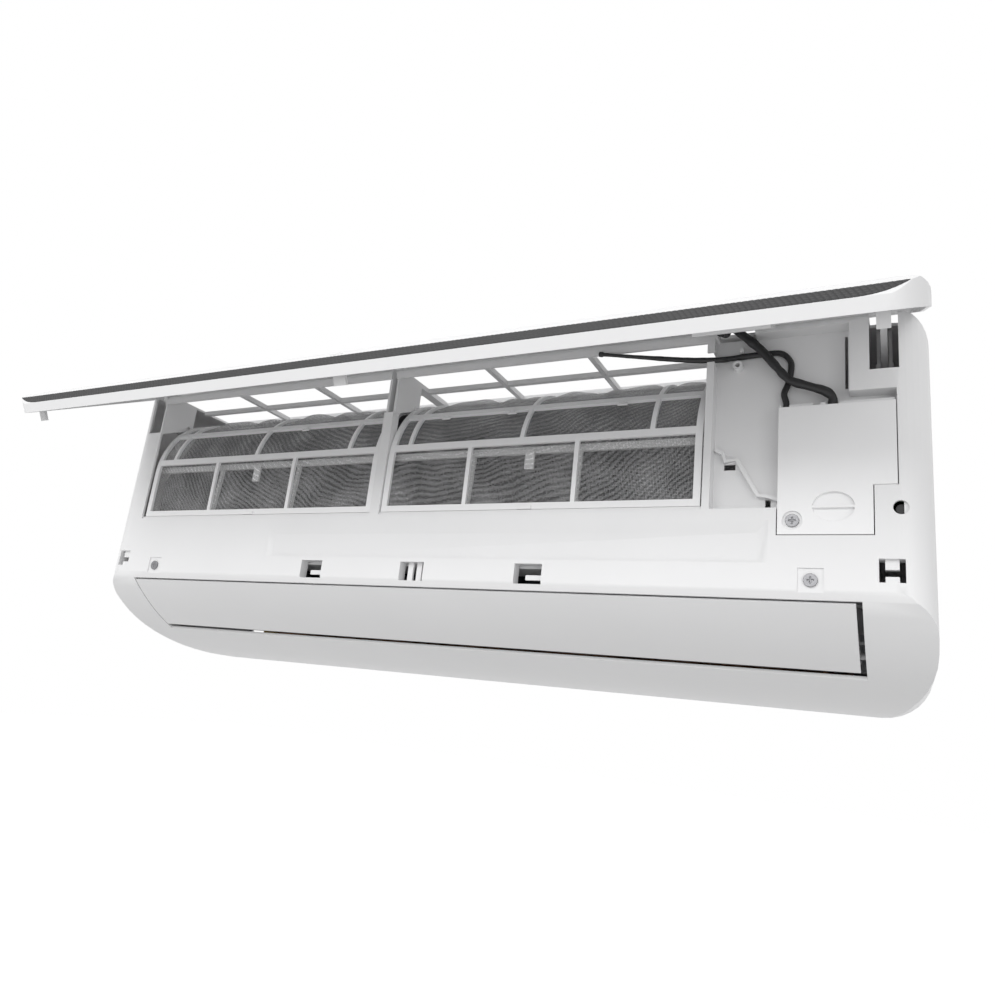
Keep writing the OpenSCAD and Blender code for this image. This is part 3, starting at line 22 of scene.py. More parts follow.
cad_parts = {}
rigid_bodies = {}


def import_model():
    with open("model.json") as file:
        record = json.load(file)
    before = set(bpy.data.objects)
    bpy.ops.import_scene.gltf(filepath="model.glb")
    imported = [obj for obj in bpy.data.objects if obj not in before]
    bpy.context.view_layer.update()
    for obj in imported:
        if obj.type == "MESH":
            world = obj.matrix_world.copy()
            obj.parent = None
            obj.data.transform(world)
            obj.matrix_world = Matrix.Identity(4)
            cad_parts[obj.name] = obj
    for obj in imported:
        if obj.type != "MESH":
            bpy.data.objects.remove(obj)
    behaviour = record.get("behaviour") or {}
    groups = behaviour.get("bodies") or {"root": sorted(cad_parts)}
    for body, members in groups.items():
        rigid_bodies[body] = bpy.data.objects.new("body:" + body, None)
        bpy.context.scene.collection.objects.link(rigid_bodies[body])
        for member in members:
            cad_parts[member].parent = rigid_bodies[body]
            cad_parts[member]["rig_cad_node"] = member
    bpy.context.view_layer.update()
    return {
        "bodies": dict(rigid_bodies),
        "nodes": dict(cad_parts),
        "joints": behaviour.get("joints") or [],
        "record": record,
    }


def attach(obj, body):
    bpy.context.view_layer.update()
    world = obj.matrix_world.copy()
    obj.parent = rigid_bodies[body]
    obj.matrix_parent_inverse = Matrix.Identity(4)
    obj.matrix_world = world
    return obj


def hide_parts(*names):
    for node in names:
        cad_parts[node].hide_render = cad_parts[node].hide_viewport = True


RGB = tuple[float, float, float]
Triple = tuple[float, float, float]
Pair = tuple[float, float]

LOG = logging.getLogger("indoor_unit")
MM = 0.001
DATUM_Z = -160 * MM
HINGE_YZ = (-150.0, 266.0)
OPEN_DEG = 63.0
WELD_STEPS_PER_METRE = 1e6
FLAT_DEG = 0.3
CREASE_DEG = 30.0
ROUNDED_DEG = 32.0
ROUNDING_STEPS = 2
FLAT_FACE_WEIGHT = 80
SPAN_POINTS = 24
FIRST_SIDE = (0.3, 0.2, 0.93)


# ---------------------------------------------------------------- mesh helpers


def as_object(name: str, points: np.ndarray, faces: list | np.ndarray) -> bpy.types.Object:
    """Makes a smooth-shaded mesh object at the origin.

    Args:
        name: Name of the piece.
        points: Vertex places, one row each, in metres.
        faces: Vertex numbers of each face.

    Returns:
        The new object, linked to the scene.
    """
    mesh = bpy.data.meshes.new(name)
    mesh.from_pydata(np.asarray(points, float).tolist(), [], [list(map(int, f)) for f in faces])
    shade_smooth(mesh)
    mesh.update()
    piece = bpy.data.objects.new(name, mesh)
    bpy.context.scene.collection.objects.link(piece)
    return piece


def shade_smooth(mesh: bpy.types.Mesh, smooth: bool = True) -> None:
    """Sets every face of a mesh smooth or flat."""
    mesh.polygons.foreach_set("use_smooth", np.full(len(mesh.polygons), smooth))


def grid_faces(rows: int, cols: int, ring: bool = False) -> np.ndarray:
    """Quads of a grid of points stored row by row.

    A quad's corners are the point at its row and column, the next in the row, and the
    same two in the next row, the last one first.

    Args:
        rows: Number of rows of points.
        cols: Number of points in a row.
        ring: Whether the last point of a row joins the first.

    Returns:
        Array of four vertex numbers for each quad.
    """
    r, c = np.meshgrid(np.arange(rows - 1), np.arange(cols if ring else cols - 1), indexing="ij")
    nxt = (c + 1) % cols
    quads = np.stack([r * cols + c, r * cols + nxt, (r + 1) * cols + nxt, (r + 1) * cols + c], -1)
    return quads.reshape(-1, 4)


def at_datum(points: np.ndarray) -> np.ndarray:
    """Turns places in mm above the body's underside into metres in the frame.

    Args:
        points: Places, with X, Y and Z along the last axis.

    Returns:
        The places times 0.001, with Z lowered to the underside.
    """
    out = np.asarray(points, float) * MM
    out[..., 2] += DATUM_Z
    return out


def swung(points: np.ndarray) -> np.ndarray:
    """Turns places on the shut panel to where the shown, open panel has them.

    Y and Z, measured from the hinge, turn about it by the opening angle, and X stays.

    Args:
        points: Places in metres, with X, Y and Z along the last axis.

    Returns:
        The turned places.
    """
    y0, z0 = HINGE_YZ[0] * MM, HINGE_YZ[1] * MM + DATUM_Z
    a = math.radians(OPEN_DEG)
    y, z = points[..., 1] - y0, points[..., 2] - z0
    out = np.array(points, float)
    out[..., 1] = y0 + y * math.cos(a) + z * math.sin(a)
    out[..., 2] = z0 - y * math.sin(a) + z * math.cos(a)
    return out


def clean_copy(node: str, frame: dict, name: str) -> bpy.types.Object:
    """Copies a solid's mesh, joins its loose triangles and shades it smooth up to a crease.

    Corners that round to the same thousandth of a mm become one vertex, triangles that
    lose a side that way go, and flat neighbours become one face.

    Args:
        node: The solid to copy.
        name: Name of the copy.

    Returns:
        The copy, riding on the solid's body and standing for it.
    """
    source = frame["nodes"][node].data
    co = np.empty(len(source.vertices) * 3)
    source.vertices.foreach_get("co", co)
    corners = np.empty(len(source.loops), int)
    source.loops.foreach_get("vertex_index", corners)
    keys = np.round(co.reshape(-1, 3) * WELD_STEPS_PER_METRE).astype(np.int64)
    _, first, back = np.unique(keys, axis=0, return_index=True, return_inverse=True)
    tris = back.reshape(-1)[corners].reshape(-1, 3)
    whole = (tris[:, 0] != tris[:, 1]) & (tris[:, 1] != tris[:, 2]) & (tris[:, 0] != tris[:, 2])
    piece = as_object(name, co.reshape(-1, 3)[first], tris[whole])
    work = bmesh.new()
    work.from_mesh(piece.data)
    bmesh.ops.dissolve_limit(work, angle_limit=math.radians(FLAT_DEG), verts=work.verts,
                             edges=work.edges)
    for edge in work.edges:
        edge.smooth = edge.calc_face_angle(0.0) < math.radians(CREASE_DEG)
    work.to_mesh(piece.data)
    work.free()
    shade_smooth(piece.data)
    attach(piece, body_of(node, frame))
    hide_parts(node)
    return piece


def body_of(node: str, frame: dict) -> str:
    """Finds the body that a solid belongs to.

    Args:
        node: The solid.

    Returns:
        Name of the body, which is base where the record names no other.
    """
    for body, members in frame["record"]["behaviour"]["bodies"].items():
        if node in members:
            return body
    return "base"


def soften(piece: bpy.types.Object, width: float) -> None:
    """Rounds a piece's sharp edges and evens out its shading.

    Args:
        piece: The piece to finish.
        width: Width of the rounding in metres.
    """
    bevel = piece.modifiers.new("edges", "BEVEL")
    bevel.width = width
    bevel.segments = ROUNDING_STEPS
    bevel.limit_method = "ANGLE"
    bevel.angle_limit = math.radians(ROUNDED_DEG)
    bevel.use_clamp_overlap = True
    even = piece.modifiers.new("shading", "WEIGHTED_NORMAL")
    even.keep_sharp = False
    even.weight = FLAT_FACE_WEIGHT


def keep_edges(piece: bpy.types.Object) -> None:
    """Evens out a piece's shading and leaves its sharp edges sharp."""
    even = piece.modifiers.new("shading", "WEIGHTED_NORMAL")
    even.keep_sharp = True


def smooth_path(points: np.ndarray, step: float) -> np.ndarray:
    """Runs a smooth curve through points.

    On each span it is a cubic whose slope at a point is half the step between the
    point's neighbours, and the points along it are then spread evenly over its length.

    Args:
        points: Places that the curve passes, in metres.
        step: Distance between the returned points.

    Returns:
        Points along the curve at about equal distances.
    """
    p = np.asarray(points, float)
    ends = np.concatenate([[2 * p[0] - p[1]], p, [2 * p[-1] - p[-2]]])
    t = np.linspace(0, 1, SPAN_POINTS, endpoint=False)[:, None]
    spans = [0.5 * (2 * b + (c - a) * t + (2 * a - 5 * b + 4 * c - d) * t**2
                    + (3 * b - a - 3 * c + d) * t**3)
             for a, b, c, d in zip(ends[:-3], ends[1:-2], ends[2:-1], ends[3:])]
    dense = np.concatenate(spans + [p[-1:]])
    run = np.concatenate([[0], np.cumsum(np.linalg.norm(np.diff(dense, axis=0), axis=1))])
    even = np.linspace(0, run[-1], max(int(run[-1] / step), 4))
    return np.stack([np.interp(even, run, dense[:, k]) for k in range(3)], 1)


def tube(name: str, path: np.ndarray, radii: np.ndarray, sides: int) -> bpy.types.Object:
    """Sweeps a circle along a path without twist, and closes both ends.

    A ring's points are the path's point, plus the radius times the cosine of the turn
    along the side direction and its sine along the direction square to that.

    Args:
        name: Name of the piece.
        path: Points of the centre line.
        radii: Radius at each point.
        sides: Number of points round the circle.

    Returns:
        The tube.
    """
    ahead = np.gradient(path, axis=0)
    ahead /= np.linalg.norm(ahead, axis=1)[:, None]
    side = np.cross(ahead[0], FIRST_SIDE)
    side /= np.linalg.norm(side)
    # Each side direction is the one before it, made square to the path
    sides_along = []
    for t in ahead:
        side = side - (side @ t) * t
        side = side / np.linalg.norm(side)
        sides_along.append(side)
    e = np.array(sides_along)
    f = np.cross(ahead, e)
    a = np.linspace(0, 2 * np.pi, sides, endpoint=False)
    round_path = (np.cos(a)[None, :, None] * e[:, None, :]
                  + np.sin(a)[None, :, None] * f[:, None, :])
    rings = path[:, None, :] + radii[:, None, None] * round_path
    n = len(path)
    faces = grid_faces(n, sides, ring=True)[:, ::-1].tolist()
    faces.append(list(range(sides)))
    faces.append([(n - 1) * sides + k for k in range(sides - 1, -1, -1)])
    piece = as_object(name, rings.reshape(-1, 3), faces)
    turn_out(piece)
    return piece


def turn_out(piece: bpy.types.Object) -> None:
    """Makes every face of a closed piece point outwards.

    Args:
        piece: The piece, whose mesh is changed.
    """
    work = bmesh.new()
    work.from_mesh(piece.data)
    bmesh.ops.recalc_face_normals(work, faces=work.faces)
    work.to_mesh(piece.data)
    work.free()


# ---------------------------------------------------------------- finishes


class Shader:
    """Writes one node material, a node at a time."""

    def __init__(self, name: str) -> None:
        """Starts a material with a principled shader.

        Args:
            name: Name of the material.
        """
        self.material = bpy.data.materials.new(name)
        self.material.use_nodes = True
        self.tree = self.material.node_tree
        self.tree.nodes.clear()
        self.out = self.tree.nodes.new("ShaderNodeOutputMaterial")
        self.bsdf = self.tree.nodes.new("ShaderNodeBsdfPrincipled")
        self.link(self.bsdf.outputs[0], self.out.inputs[0])

    def node(self, kind: str, **values: object) -> bpy.types.Node:
        """Adds a node.

        Args:
            kind: Type of the node.
            **values: Its properties and inputs, by name.

        Returns:
            The node.
        """
        made = self.tree.nodes.new(kind)
        for key, value in values.items():
            if hasattr(made, key) and key not in made.inputs:
                setattr(made, key, value)
            else:
                made.inputs[key].default_value = value
        return made

    def link(self, a: bpy.types.NodeSocket, b: bpy.types.NodeSocket) -> None:
        """Joins an output to an input."""
        self.tree.links.new(a, b)

    def feed(self, socket: str, value: bpy.types.NodeSocket) -> None:
        """Joins an output to an input of the principled shader."""
        self.link(value, self.bsdf.inputs[socket])

    def number(self, socket: str, value: float) -> None:
        """Sets an input of the principled shader to one number."""
        self.bsdf.inputs[socket].default_value = value

    def place(self) -> bpy.types.NodeSocket:
        """Object coordinates, in metres."""
        return self.node("ShaderNodeTexCoord").outputs["Object"]

    def noise(self, place: bpy.types.NodeSocket, scale: float,
              detail: float = 2.0) -> bpy.types.NodeSocket:
        """Makes noise of about 0 to 1.

        Args:
            place: Coordinates that it reads.
            scale: Lumps to the metre.
            detail: Number of finer layers.

        Returns:
            The noise's value.
        """
        made = self.node("ShaderNodeTexNoise", Scale=scale, Detail=detail)
        self.link(place, made.inputs["Vector"])
        return made.outputs["Fac"]

    def sum(self, how: str, a: object, b: object) -> bpy.types.NodeSocket:
        """Works out one sum.

        Args:
            how: Operation of the Math node.
            a: First socket or number.
            b: Second socket or number.

        Returns:
            The result.
        """
        made = self.tree.nodes.new("ShaderNodeMath")
        made.operation = how
        for socket, value in zip(made.inputs, (a, b)):
            if isinstance(value, bpy.types.NodeSocket):
                self.link(value, socket)
            else:
                socket.default_value = value
        return made.outputs[0]

    def span(self, value: bpy.types.NodeSocket, low: float, high: float,
             from_low: float = 0.0, from_high: float = 1.0) -> bpy.types.NodeSocket:
        """Maps one range to another, and holds what lies outside to its ends.

        Args:
            value: What is mapped.
            low: Result at from_low.
            high: Result at from_high.
            from_low: Lower end of the value.
            from_high: Upper end of the value.

        Returns:
            The result.
        """
        made = self.node("ShaderNodeMapRange")
        self.link(value, made.inputs["Value"])
        for key, number in (("From Min", from_low), ("From Max", from_high), ("To Min", low),
                            ("To Max", high)):
            made.inputs[key].default_value = number
        return made.outputs[0]

    def between(self, share: bpy.types.NodeSocket, a: RGB, b: RGB) -> bpy.types.NodeSocket:
        """Mixes two colours.

        Args:
            share: 0 for the first colour, 1 for the second.
            a: First colour.
            b: Second colour.

        Returns:
            The colour between them.
        """
        made = self.node("ShaderNodeMix", data_type="RGBA")
        self.link(share, made.inputs[0])
        made.inputs[6].default_value = (*a, 1)
        made.inputs[7].default_value = (*b, 1)
        return made.outputs[2]

    def tint(self, share: bpy.types.NodeSocket, colour: RGB, low: float, high: float) -> None:
        """Colours the surface between two shades of a colour.

        Args:
            share: 0 for the first shade, 1 for the second.
            colour: The colour.
            low: Factor of the first shade.
            high: Factor of the second shade.
        """
        self.feed("Base Color", self.between(share, shade(colour, low), shade(colour, high)))

    def bump(self, height: bpy.types.NodeSocket, deep: float) -> None:
        """Puts relief on the surface.

        Args:
            height: Height as a share of the depth.
            deep: Depth in metres.
        """
        made = self.node("ShaderNodeBump", Strength=1.0, Distance=deep)
        self.link(height, made.inputs["Height"])
        self.feed("Normal", made.outputs[0])


def shade(colour: RGB, by: float) -> RGB:
    """A colour made lighter or darker by a factor."""
    return tuple(min(max(c * by, 0.0), 1.0) for c in colour)


@dataclass(frozen=True)
class Moulded:
    """Moulded plastic: an even colour with faint flow clouds and a fine eroded grain."""

    name: str
    colour: RGB
    roughness: float
    cloud: float = 0.02
    clouds_per_metre: float = 14.0
    grains_per_metre: float = 1400.0
    grain: float = 0.02 * MM
    sheen_swing: float = 0.05
    index: float = 1.5

    def material(self) -> bpy.types.Material:
        """Makes the material.

        Returns:
            The material.
        """
        s = Shader(self.name)
        place = s.place()
        drift = s.noise(place, self.clouds_per_metre, 3.0)
        s.tint(drift, self.colour, 1 - self.cloud, 1 + self.cloud)
        fine = s.noise(place, self.grains_per_metre)
        s.feed("Roughness", s.span(fine, self.roughness - self.sheen_swing,
                                   self.roughness + self.sheen_swing))
        s.bump(fine, self.grain)
        s.number("IOR", self.index)
        return s.material


@dataclass(frozen=True)
class Metal:
    """Bare metal with fine drawn or rolled lines along X."""

    name: str
    colour: RGB
    roughness: float
    lines_per_metre: Triple = (6.0, 500.0, 500.0)
    tones_per_metre: float = 30.0
    tones: Pair = (0.86, 1.08)
    sheen_swing: float = 0.12
    grain: float = 0.01 * MM

    def material(self) -> bpy.types.Material:
        """Makes the material.

        Returns:
            The material.
        """
        s = Shader(self.name)
        mapping = s.node("ShaderNodeMapping", Scale=self.lines_per_metre)
        s.link(s.place(), mapping.inputs["Vector"])
        lines = s.noise(mapping.outputs[0], 1.0, 4.0)
        s.tint(s.noise(s.place(), self.tones_per_metre, 3.0), self.colour, *self.tones)
        s.number("Metallic", 1.0)
        s.feed("Roughness", s.span(lines, self.roughness - self.sheen_swing,
                                   self.roughness + self.sheen_swing))
        s.bump(lines, self.grain)
        return s.material


@dataclass(frozen=True)
class Sleeve:
    """Sleeve of a lead: dull vinyl with shallow wrinkles across it."""

    name: str
    colour: RGB = (0.012, 0.012, 0.013)
    roughness: float = 0.5
    tones_per_metre: float = 60.0
    tones: Pair = (0.7, 1.8)
    wrinkles_per_metre: float = 420.0
    sheen_swing: Pair = (-0.1, 0.15)
    grain: float = 0.12 * MM

    def material(self) -> bpy.types.Material:
        """Makes the material.

        Returns:
            The material.
        """
        s = Shader(self.name)
        place = s.place()
        s.tint(s.noise(place, self.tones_per_metre, 3.0), self.colour, *self.tones)
        wrinkle = s.noise(place, self.wrinkles_per_metre, 3.0)
        s.feed("Roughness", s.span(wrinkle, self.roughness + self.sheen_swing[0],
                                   self.roughness + self.sheen_swing[1]))
        s.bump(wrinkle, self.grain)
        return s.material


@dataclass(frozen=True)
class Net:
    """Woven filter net: threads both ways with gaps between, under a haze of light.

    The haze stands for what the threads do too finely to draw. It is the sum of ripples
    that climb and turn across each cell, grit, folds, and a rise towards the open top, which is
    painted light: the upper net made lighter as if lit from above.
    """

    name: str
    colour: RGB = (0.52, 0.52, 0.525)
    tones: Pair = (0.8, 1.25)
    roughness: Pair = (0.5, 0.7)
    pitch: float = 1.25 * MM
    thread_share: float = 0.15
    thread_alpha: float = 0.36
    least_alpha: float = 0.13
    stray: float = 2.0 * MM
    strays_per_metre: float = 18.0
    ripple: float = 5.6 * MM
    ripple_turn: float = 1.6
    ripple_bend: float = 26.0 * MM
    bends_per_metre: float = 9.0
    ripple_shake: float = 1.4 * MM
    shakes_per_metre: float = 130.0
    ripple_alpha: float = 0.11
    grit_per_metre: float = 620.0
    grit_range: Pair = (0.3, 0.7)
    grit_alpha: float = 0.12
    folds_per_metre: float = 24.0
    fold_range: Pair = (0.42, 0.75)
    fold_alpha: Pair = (-0.05, 0.16)
    # Painted light: the net's cover rises towards the open top, so the upper net looks lit from
    # above.
    painted_light_rise_range: Pair = (55.0 * MM, 120.0 * MM)
    painted_light_rise_alpha: float = 0.26

    def material(self) -> bpy.types.Material:
        """Makes the material.

        Returns:
            The material.
        """
        s = Shader(self.name)
        uv = s.node("ShaderNodeUVMap", uv_map="cloth").outputs[0]
        split = s.node("ShaderNodeSeparateXYZ")
        s.link(uv, split.inputs[0])
        across, up = split.outputs[0], split.outputs[1]
        threads = s.sum("MULTIPLY", self._threads(s, uv, across, up), self.thread_alpha)
        grit = s.span(s.noise(uv, self.grit_per_metre, 1.0), -self.grit_alpha, self.grit_alpha,
                      *self.grit_range)
        fold = s.noise(uv, self.folds_per_metre, 3.0)
        haze = s.sum("ADD", self._ripples(s, uv, across, up), grit)
        haze = s.sum("ADD", haze, s.span(fold, *self.fold_alpha, *self.fold_range))
        # Painted light: more cover towards the top lightens the upper net over the dark fins.
        haze = s.sum("ADD", haze, s.span(up, 0.0, self.painted_light_rise_alpha, *self.painted_light_rise_range))
        alpha = s.sum("ADD", threads, s.sum("ADD", haze, self.least_alpha))
        s.feed("Alpha", s.span(alpha, 0.0, 1.0))
        s.tint(fold, self.colour, *self.tones)
        s.feed("Roughness", s.span(fold, *self.roughness))
        return s.material

    def _threads(self, s: Shader, uv: bpy.types.NodeSocket, across: bpy.types.NodeSocket,
                 up: bpy.types.NodeSocket) -> bpy.types.NodeSocket:
        """Marks the threads: where either coordinate is near a whole number of pitches.

        Args:
            s: The material's writer.
            uv: The cloth's own coordinates in metres.
            across: The first of them.
            up: The second of them.

        Returns:
            1 on a thread, 0 between threads.
        """
        stray = s.span(s.noise(uv, self.strays_per_metre, 1.0), -self.stray, self.stray)
        masks = []
        for axis in (across, up):
            run = s.sum("DIVIDE", s.sum("ADD", axis, stray), self.pitch)
            masks.append(s.sum("LESS_THAN", s.sum("PINGPONG", run, 0.5), self.thread_share))
        return s.sum("MAXIMUM", *masks)

    def _ripples(self, s: Shader, uv: bpy.types.NodeSocket, across: bpy.types.NodeSocket,
                 up: bpy.types.NodeSocket) -> bpy.types.NodeSocket:
        """Makes ripples: a sine of the height, less a share of the width squared, plus noise.

        Args:
            s: The material's writer.
            uv: The cloth's own coordinates in metres.
            across: The first of them.
            up: The second of them.

        Returns:
            What the ripples add to the haze.
        """
        bend = s.span(s.noise(uv, self.bends_per_metre), -self.ripple_bend, self.ripple_bend)
        shake = s.span(s.noise(uv, self.shakes_per_metre), -self.ripple_shake, self.ripple_shake)
        turn = s.sum("MULTIPLY", s.sum("MULTIPLY", across, across), self.ripple_turn)
        phase = s.sum("ADD", s.sum("ADD", s.sum("SUBTRACT", up, turn), bend), shake)
        wave = s.sum("SINE", s.sum("MULTIPLY", phase, 2 * math.pi / self.ripple), 0.0)
        return s.span(wave, -self.ripple_alpha, self.ripple_alpha, -1.0, 1.0)


@dataclass(frozen=True)
class FinPack:
    """Rolled aluminium fins, darkened by their coating and the shade between them."""

    name: str
    colour: RGB = (0.16, 0.16, 0.165)
    tones: Pair = (0.6, 1.5)
    tones_per_metre: Triple = (240.0, 20.0, 20.0)
    metallic: float = 0.3
    roughness: Pair = (0.4, 0.6)
    grain: float = 0.1 * MM

    def material(self) -> bpy.types.Material:
        """Makes the material.

        Returns:
            The material.
        """
        s = Shader(self.name)
        mapping = s.node("ShaderNodeMapping", Scale=self.tones_per_metre)
        s.link(s.place(), mapping.inputs["Vector"])
        tone = s.noise(mapping.outputs[0], 1.0, 3.0)
        s.tint(tone, self.colour, *self.tones)
        s.number("Metallic", self.metallic)
        s.feed("Roughness", s.span(tone, *self.roughness))
        s.bump(tone, self.grain)
        return s.material


@dataclass(frozen=True)
class Laminate:
    """Green circuit board with faint tracks under its lacquer."""

    name: str
    colour: RGB = (0.02, 0.13, 0.05)
    tones: Triple = (1.0, 1.5, 2.2)
    tracks_per_metre: float = 260.0
    roughness: Pair = (0.25, 0.4)
    clouds_per_metre: float = 300.0

    def material(self) -> bpy.types.Material:
        """Makes the material.

        Returns:
            The material.
        """
        s = Shader(self.name)
        place = s.place()
        tracks = s.node("ShaderNodeTexBrick", Scale=self.tracks_per_metre)
        for socket, tone in zip(("Color1", "Color2", "Mortar"), self.tones):
            tracks.inputs[socket].default_value = (*shade(self.colour, tone), 1)
        turn = s.node("ShaderNodeMapping", Rotation=(math.pi / 2, 0.0, 0.0))
        s.link(place, turn.inputs["Vector"])
        s.link(turn.outputs[0], tracks.inputs["Vector"])
        s.feed("Base Color", tracks.outputs["Color"])
        s.feed("Roughness", s.span(s.noise(place, self.clouds_per_metre), *self.roughness))
        return s.material


class Finish(Enum):
    """The finishes of this unit, by the record's slot names."""

    WHITE = Moulded("white_plastic", (0.80, 0.80, 0.805), roughness=0.3)
    CASING = Moulded("casing_plastic", (0.83, 0.83, 0.835), roughness=0.42)
    # Painted light: a lighter copy of the white plastic, making up for the shade the open panel
    # throws on the electrical cover.
    COVER_PAINTED_LIGHT = Moulded("white_plastic", (0.90, 0.90, 0.905), roughness=0.35)
    INNER = Moulded("inner_plastic", (0.80, 0.80, 0.81), roughness=0.5)
    FRAME = Moulded("filter_plastic", (0.90, 0.90, 0.905), roughness=0.45)
    NET = Net("filter_mesh")
    TRIM = Moulded("dark_trim", (0.022, 0.022, 0.023), roughness=0.5, cloud=0.25)
    LEAD = Sleeve("black_lead")
    STEEL = Metal("steel", (0.55, 0.55, 0.56), roughness=0.34)
    SCREW = Metal("steel", (0.27, 0.27, 0.28), roughness=0.4)
    FINS = FinPack("fins")
    COPPER = Metal("copper", (0.72, 0.36, 0.22), roughness=0.32)
    BRASS = Metal("brass", (0.70, 0.52, 0.24), roughness=0.3)
    FAN = Moulded("fan_plastic", (0.075, 0.085, 0.10), roughness=0.45, cloud=0.08)
    BOARD = Laminate("board")
    DARK = Moulded("dark_plastic", (0.03, 0.03, 0.032), roughness=0.5, cloud=0.15)
    RUBBER = Sleeve("soft_rubber", colour=(0.03, 0.03, 0.03), roughness=0.7)


_materials: dict[Finish, bpy.types.Material] = {}


def finished(piece: bpy.types.Object, finish: Finish) -> bpy.types.Object:
    """Gives a piece or solid its finish.

    Args:
        piece: What is finished.
        finish: The finish.

    Returns:
        The same object.
    """
    if finish not in _materials:
        _materials[finish] = finish.value.material()
    if piece.data.materials:
        for k in range(len(piece.data.materials)):
            piece.data.materials[k] = _materials[finish]
    else:
        piece.data.materials.append(_materials[finish])
    return piece


# ---------------------------------------------------------------- sub-assemblies


class SubAssembly(Protocol):
    """What every sub-assembly can do."""

    def build(self) -> list[bpy.types.Object]:
        """Builds and dresses its pieces, and returns them."""


@dataclass
class Mouldings:
    """The parts whose solids are right, given an even surface and rounded edges.

    Each has its finish and the width of its rounding in metres, nought where it has none.
    """

    frame: dict
    parts: dict[str, tuple[Finish, float]] = field(default_factory=lambda: {
        "front_casing": (Finish.CASING, 0.5 * MM),
        "rear_chassis": (Finish.INNER, 0.0),
        "front_panel": (Finish.WHITE, 0.6 * MM),
        # The cover's finish is painted light: lighter than the white plastic to offset the
        # panel's shade.
        "electrical_cover": (Finish.COVER_PAINTED_LIGHT, 0.35 * MM),
        "bay_plate": (Finish.CASING, 0.35 * MM),
        "filter_left": (Finish.FRAME, 0.4 * MM),
        "filter_right": (Finish.FRAME, 0.4 * MM),
        "louver": (Finish.WHITE, 0.4 * MM),
        "hinge_arms": (Finish.WHITE, 0.4 * MM),
        "display_unit": (Finish.WHITE, 0.8 * MM),
        "drain_pan": (Finish.INNER, 0.0),
        "vane_rail": (Finish.INNER, 0.3 * MM),
        "motor_cover": (Finish.INNER, 0.4 * MM),
        "fan_rotor": (Finish.FAN, 0.0),
        "fan_motor": (Finish.STEEL, 0.8 * MM),
        "louver_motor": (Finish.STEEL, 0.5 * MM),
        "coil_tubes": (Finish.COPPER, 0.0),
        "gas_pipe": (Finish.COPPER, 0.0),
        "liquid_pipe": (Finish.COPPER, 0.0),
        "flare_nuts": (Finish.BRASS, 0.6 * MM),
        "cover_screw": (Finish.SCREW, 0.35 * MM),
        "casing_screws": (Finish.SCREW, 0.35 * MM),
    })

    def build(self) -> list[bpy.types.Object]:
        """Copies, rounds and finishes each part.

        Returns:
            The copies.
        """
        made = []
        for node, (finish, width) in self.parts.items():
            piece = clean_copy(node, self.frame, f"{node}_form")
            if width:
                soften(piece, width)
            else:
                keep_edges(piece)
            made.append(finished(piece, finish))
        return made


@dataclass
class PlainSolids:
    """Solids shown as they are, with their finishes."""

    frame: dict
    finishes: dict[str, Finish] = field(default_factory=lambda: {
        "wall_plate": Finish.STEEL,
        "drain_plug": Finish.RUBBER,
        "tube_sheets": Finish.STEEL,
        "coil_bridge": Finish.STEEL,
        "fan_shaft": Finish.STEEL,
        "fan_bearing": Finish.RUBBER,
        "electrical_box": Finish.INNER,
        "circuit_board": Finish.BOARD,
        "terminal_block": Finish.DARK,
        "test_button": Finish.DARK,
        "vane_link_left": Finish.INNER,
        "vane_link_right": Finish.INNER,
    })
    banks: tuple[str, str] = ("left", "right")
    vanes_to_a_bank: int = 5

    def build(self) -> list[bpy.types.Object]:
        """Gives each solid its material.

        Returns:
            The solids.
        """
        vanes = {f"vane_{bank}_{k + 1}": Finish.INNER
                 for bank in self.banks for k in range(self.vanes_to_a_bank)}
        return [finished(self.frame["nodes"][node], finish)
                for node, finish in (self.finishes | vanes).items()]


